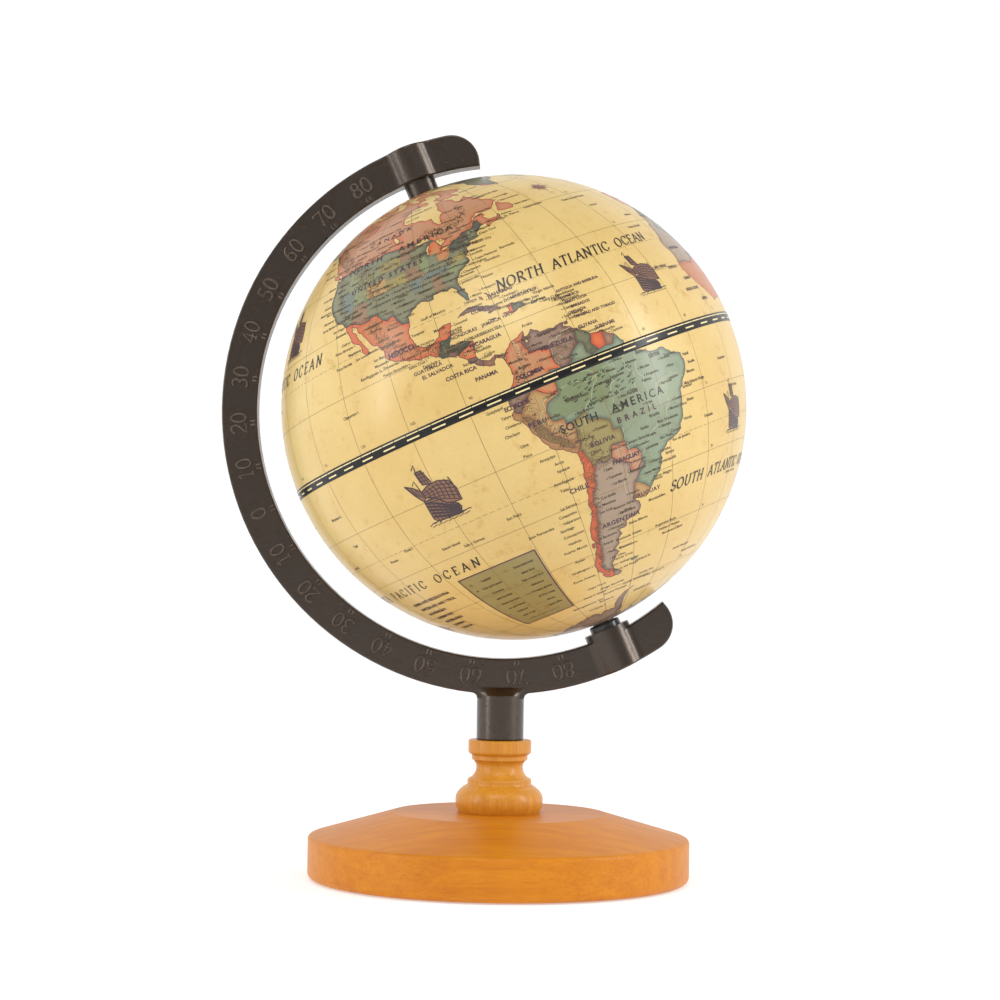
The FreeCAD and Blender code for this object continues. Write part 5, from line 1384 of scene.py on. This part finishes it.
def draw_key():
    """The map key: two columns of words with a ring, a dot and dashed lines beside them."""
    marks = Marks(0.05)
    left, top = KEY_BOX[0]
    right, bottom = KEY_BOX[2]
    middle = (left + right) / 2
    for column, (start, entries) in enumerate(zip((left, middle), KEY_WORDS)):
        for row, text in enumerate(entries):
            lat = top - KEY_MARGIN - KEY_ROW * row
            write(marks, text, start + 0.6 * (right - left) / 2, lat, 1.2, bold=0.03)
            put = placed(start + 2.2, lat)
            if (row, column) == (0, 0):
                marks.line([put(x, y) for x, y in arc(0, 0, 0.4, 0.4, 0, 360, 12)], 0.12)
            elif (row, column) == (1, 0):
                marks.area(arc(0, 0, 0.35, 0.35, 0, 330, 10), put)
            elif row % 2 == 0:
                for dash in range(1 + (row + column) % 3):
                    x = 0.9 * dash - 0.9
                    marks.line([put(x, 0), put(x + 0.6, 0)], 0.15)
    write(marks, "Scale along the equator", middle, bottom + 2.2, 1.05)
    marks.piece("key_words", ink("ink_key", (66, 56, 44), (92, 80, 60)))


TAPE_SEGMENTS = 104
# Where a segment's tick gap and the two parts of its dash begin, as shares of the segment.
TAPE_COLUMNS = (0.0, 0.06, 0.5)
# Rows from north to south: share of the width, and what fills it.
TAPE_ROWS = [(0.03, "edge"), (0.14, "black"), (0.1, "ticked"), (0.32, "black"), (0.14, "spaced"),
             (0.24, "black"), (0.03, "edge")]


def build_equator_tape():
    """The varnished strip over the seam: black, with a row of ticked dashes and a row of spaced dashes."""
    pitch = 360 / TAPE_SEGMENTS
    turns = [math.radians(i * pitch + share * pitch) for i in range(TAPE_SEGMENTS) for share in TAPE_COLUMNS]
    stations = list(accumulate((share for share, _ in TAPE_ROWS), initial=0.0))
    points, faces, dashes = [], [], []
    for turn in turns:
        around = FRONT * math.cos(turn) + SIDE * math.sin(turn)
        for j, station in enumerate(stations):
            radius = TAPE_RADIUS if 0 < j < len(TAPE_ROWS) else BALL_RADIUS
            along = TAPE_WIDTH * (0.5 - station)
            points.append(BALL_CENTRE + around * math.sqrt(radius ** 2 - along ** 2) + NORTH * along)
    per = len(stations)
    for i in range(len(turns)):
        following = (i + 1) % len(turns)
        for j, (_, fill) in enumerate(TAPE_ROWS):
            faces.append((i * per + j, i * per + j + 1, following * per + j + 1, following * per + j))
            dashes.append(float((fill == "ticked" and i % 3 > 0) or (fill == "spaced" and i // 3 % 2 == 0)))
    shader = Shader("equator_tape", Coat_Weight=0.12, Coat_Roughness=0.16, Specular_IOR_Level=0.3)
    pattern = shader.nodes.new("ShaderNodeAttribute")
    pattern.attribute_name = "dash"
    wear = shader.noise(900, 3)
    black = shader.mix(wear, linear((8, 8, 9)), linear((22, 21, 22)))
    cream = shader.mix(wear, linear((222, 202, 146)), linear((236, 218, 168)))
    shader.colour(shader.mix(pattern.outputs["Fac"], black, cream))
    shader.roughness(shader.noise(240, 2), 0.25, 0.36)
    piece = make_piece("equator_scale_tape", points, faces, "globe", shader.material,
                       replaced=("equator_tape",))
    attribute = piece.data.attributes.new("dash", "FLOAT", "FACE")
    attribute.data.foreach_set("value", dashes)


# ---- embossed numerals on the arm ----------------------------------------------------------------

# Strokes of each digit on a height of 1.
DIGITS = {
    "0": [arc(0.31, 0.5, 0.27, 0.48, 90, 450, 20)],
    "1": [[(0.12, 0.8), (0.32, 0.98), (0.32, 0.02)], [(0.14, 0.02), (0.5, 0.02)]],
    "2": [arc(0.31, 0.72, 0.26, 0.26, 165, -35) + [(0.05, 0.02), (0.6, 0.02), (0.6, 0.14)]],
    "3": [arc(0.29, 0.74, 0.23, 0.24, 150, -90), arc(0.28, 0.26, 0.28, 0.25, 90, -150)],
    "4": [[(0.44, 0.02), (0.44, 0.98), (0.03, 0.3), (0.62, 0.3)], [(0.32, 0.02), (0.56, 0.02)]],
    "5": [[(0.54, 0.97), (0.16, 0.97), (0.12, 0.56)] + arc(0.28, 0.3, 0.28, 0.29, 120, -150)],
    "6": [arc(0.31, 0.29, 0.25, 0.27, 170, 530, 18), arc(0.56, 0.32, 0.5, 0.66, 178, 96, 8)],
    "7": [[(0.05, 0.84), (0.05, 0.97), (0.58, 0.97), (0.24, 0.02)]],
    "8": [arc(0.31, 0.75, 0.21, 0.22, 90, 450, 18), arc(0.31, 0.27, 0.27, 0.26, 90, 450, 18)],
}
DIGIT_HEIGHT = 4.6 * MM
DIGIT_ADVANCE = 0.74
DIGIT_WIDTH = 0.62
NUMERAL_RADIUS = ARM_INNER + 5.5 * MM
STROKE_RADIUS = 0.4 * MM
STROKE_SINK = 0.02 * MM
TICK_OFFSET = 0.55 * MM
TICK_ENDS = (0.6 * MM, 2.0 * MM)


def build_numerals():
    """Degree numerals 80 to 0 to 80 and their ticks, as rounded ridges on the arm's front."""
    curve = bpy.data.curves.new("arm_numerals", "CURVE")
    curve.dimensions = "3D"
    curve.bevel_depth = STROKE_RADIUS
    curve.bevel_resolution = 2
    curve.use_fill_caps = True

    def ridge(points):
        spline = curve.splines.new("POLY")
        spline.points.add(len(points) - 1)
        for knot, point in zip(spline.points, points):
            knot.co = (*point, 1)

    zero = math.atan2(-SIDE.z, -SIDE.x)
    face = Vector((0, ARM_FACE + STROKE_SINK, 0))
    hub = Vector((ARM_CENTRE.x, 0, ARM_CENTRE.z)) + face
    for step in range(-8, 9):
        angle = zero - math.radians(10 * step)
        out = Vector((math.cos(angle), 0, math.sin(angle)))
        right = Vector((math.sin(angle), 0, -math.cos(angle)))
        text = str(abs(10 * step))
        width = (DIGIT_ADVANCE * (len(text) - 1) + DIGIT_WIDTH) * DIGIT_HEIGHT
        for place, digit in enumerate(text):
            shift = -width / 2 + place * DIGIT_ADVANCE * DIGIT_HEIGHT
            for stroke in DIGITS[digit]:
                ridge([hub + out * (NUMERAL_RADIUS + (y - 0.5) * DIGIT_HEIGHT)
                       + right * (shift + x * DIGIT_HEIGHT) for x, y in stroke])
        for shift in (-TICK_OFFSET, TICK_OFFSET):
            ridge([hub + out * (ARM_INNER + end) + right * shift for end in TICK_ENDS])
    holder = bpy.data.objects.new("arm_numerals_curve", curve)
    mesh = bpy.data.meshes.new_from_object(holder)
    bpy.data.objects.remove(holder)
    mesh.name = "arm_numerals"
    mesh.materials.clear()
    # The numerals take the lighter metal copy, a painted highlight on the raised strokes.
    mesh.materials.append(NUMERAL_METAL_PAINTED_HIGHLIGHT)
    piece = bpy.data.objects.new("arm_numerals", mesh)
    bpy.context.scene.collection.objects.link(piece)
    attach(piece, "stand")


# ---- camera, floor and light ---------------------------------------------------------------------


CAMERA_PLACE = (0, -0.75, 0.09515)
CAMERA_TURN = (1.438, -0.076, 0.81)  # pitch, yaw and roll in degrees
CAMERA_LENS = 89.63
CAMERA_SENSOR = 36


def add_camera():
    """Camera in front, a little below the ball's middle, turned so that the object leans as seen."""
    data = bpy.data.cameras.new("camera")
    data.lens = CAMERA_LENS
    data.sensor_width = CAMERA_SENSOR
    data.clip_start = 0.01
    camera = bpy.data.objects.new("camera", data)
    bpy.context.scene.collection.objects.link(camera)
    pitch, yaw, roll = (math.radians(angle) for angle in CAMERA_TURN)
    ahead = Vector((math.sin(yaw) * math.cos(pitch), math.cos(yaw) * math.cos(pitch), math.sin(pitch)))
    right = Vector((math.cos(yaw), -math.sin(yaw), 0))
    up = right.cross(ahead)
    right, up = (right * math.cos(roll) + up * math.sin(roll), up * math.cos(roll) - right * math.sin(roll))
    camera.matrix_world = Matrix((right, up, -ahead)).transposed().to_4x4()
    camera.location = CAMERA_PLACE
    bpy.context.scene.camera = camera


FLOOR_REACH = 1.4
FLOOR_CURVE = 0.9
FLOOR_TOP = 3.0
FLOOR_SIDES = 64
# The floor's glow rises with Y from none at the far front, to lighten the backdrop.
FLOOR_GLOW = {"From Min": -1.6, "From Max": -0.5, "To Min": 0.0, "To Max": 0.45}


def add_floor():
    """A pale floor that curves up into a backdrop all round."""
    profile = [(FLOOR_REACH, 0.0)]
    for angle in range(10, 91, 10):
        turn = math.radians(angle)
        profile.append((FLOOR_REACH + FLOOR_CURVE * math.sin(turn), FLOOR_CURVE * (1 - math.cos(turn))))
    profile.append((FLOOR_REACH + FLOOR_CURVE, FLOOR_TOP))
    turns = [2 * math.pi * i / FLOOR_SIDES for i in range(FLOOR_SIDES)]
    points = [(r * math.cos(t), r * math.sin(t), z) for r, z in profile for t in turns]
    centre = len(points)
    points.append((0, 0, 0))
    faces = [(centre, i, (i + 1) % FLOOR_SIDES) for i in range(FLOOR_SIDES)]
    for row in range(len(profile) - 1):
        low, high = row * FLOOR_SIDES, (row + 1) * FLOOR_SIDES
        for i in range(FLOOR_SIDES):
            j = (i + 1) % FLOOR_SIDES
            faces.append((low + i, high + i, high + j, low + j))
    mesh = bpy.data.meshes.new("floor")
    mesh.from_pydata(points, [], faces)
    mesh.polygons.foreach_set("use_smooth", [True] * len(faces))
    shader = Shader("floor", Roughness=0.9, Specular_IOR_Level=0.0, Emission_Color=(1, 1, 1, 1))
    shader.colour(shader.mix(shader.noise(3, 2), (0.7, 0.7, 0.7, 1), (0.72, 0.72, 0.72, 1)))
    split = shader.nodes.new("ShaderNodeSeparateXYZ")
    shader.link(shader.place, split, "Vector")
    glow = shader.nodes.new("ShaderNodeMapRange")
    for socket, value in FLOOR_GLOW.items():
        glow.inputs[socket].default_value = value
    shader.link(split.outputs["Y"], glow, "Value")
    shader.link(glow.outputs["Result"], shader.surface, "Emission Strength")
    mesh.materials.append(shader.material)
    floor = bpy.data.objects.new("floor", mesh)
    bpy.context.scene.collection.objects.link(floor)


WORLD_LIGHT = 0.3
LIGHT_TARGET = Vector((0, 0, 0.13))
# Name, place, width, height and power in watts.
SOFTBOXES = [
    ("left_softbox", (-1.05, -0.5, 0.3), 0.16, 1.0, 4.6),
    ("right_softbox", (1.05, -0.36, 0.55), 0.2, 0.9, 6.0),
    ("front_softbox", (-0.1, -0.95, 1.2), 0.9, 0.7, 7.4),
]


def add_softbox(name, place, width, height, power):
    """A rectangular light turned towards the object."""
    data = bpy.data.lights.new(name, "AREA")
    data.shape = "RECTANGLE"
    data.size, data.size_y = width, height
    data.energy = power
    light = bpy.data.objects.new(name, data)
    light.location = place
    light.rotation_euler = (LIGHT_TARGET - Vector(place)).to_track_quat("-Z", "Y").to_euler()
    bpy.context.scene.collection.objects.link(light)


def add_lights():
    """Even white surroundings and the softboxes."""
    world = bpy.data.worlds.new("studio")
    world.use_nodes = True
    background = world.node_tree.nodes["Background"]
    background.inputs["Color"].default_value = (1, 1, 1, 1)
    background.inputs["Strength"].default_value = WORLD_LIGHT
    bpy.context.scene.world = world
    for softbox in SOFTBOXES:
        add_softbox(*softbox)
    bpy.context.scene.view_settings.view_transform = "Standard"


# ---- the scene -------------------------------------------------------------------------------------

add_camera()
add_floor()
add_lights()
dress_cad_nodes()
map_points, map_edges = build_sheets()
draw_region_edges(map_points, map_edges)
draw_graticule()
draw_rivers()
draw_relief()
draw_names()
draw_ships()
draw_compass_stars()
draw_key()
build_equator_tape()
build_numerals()
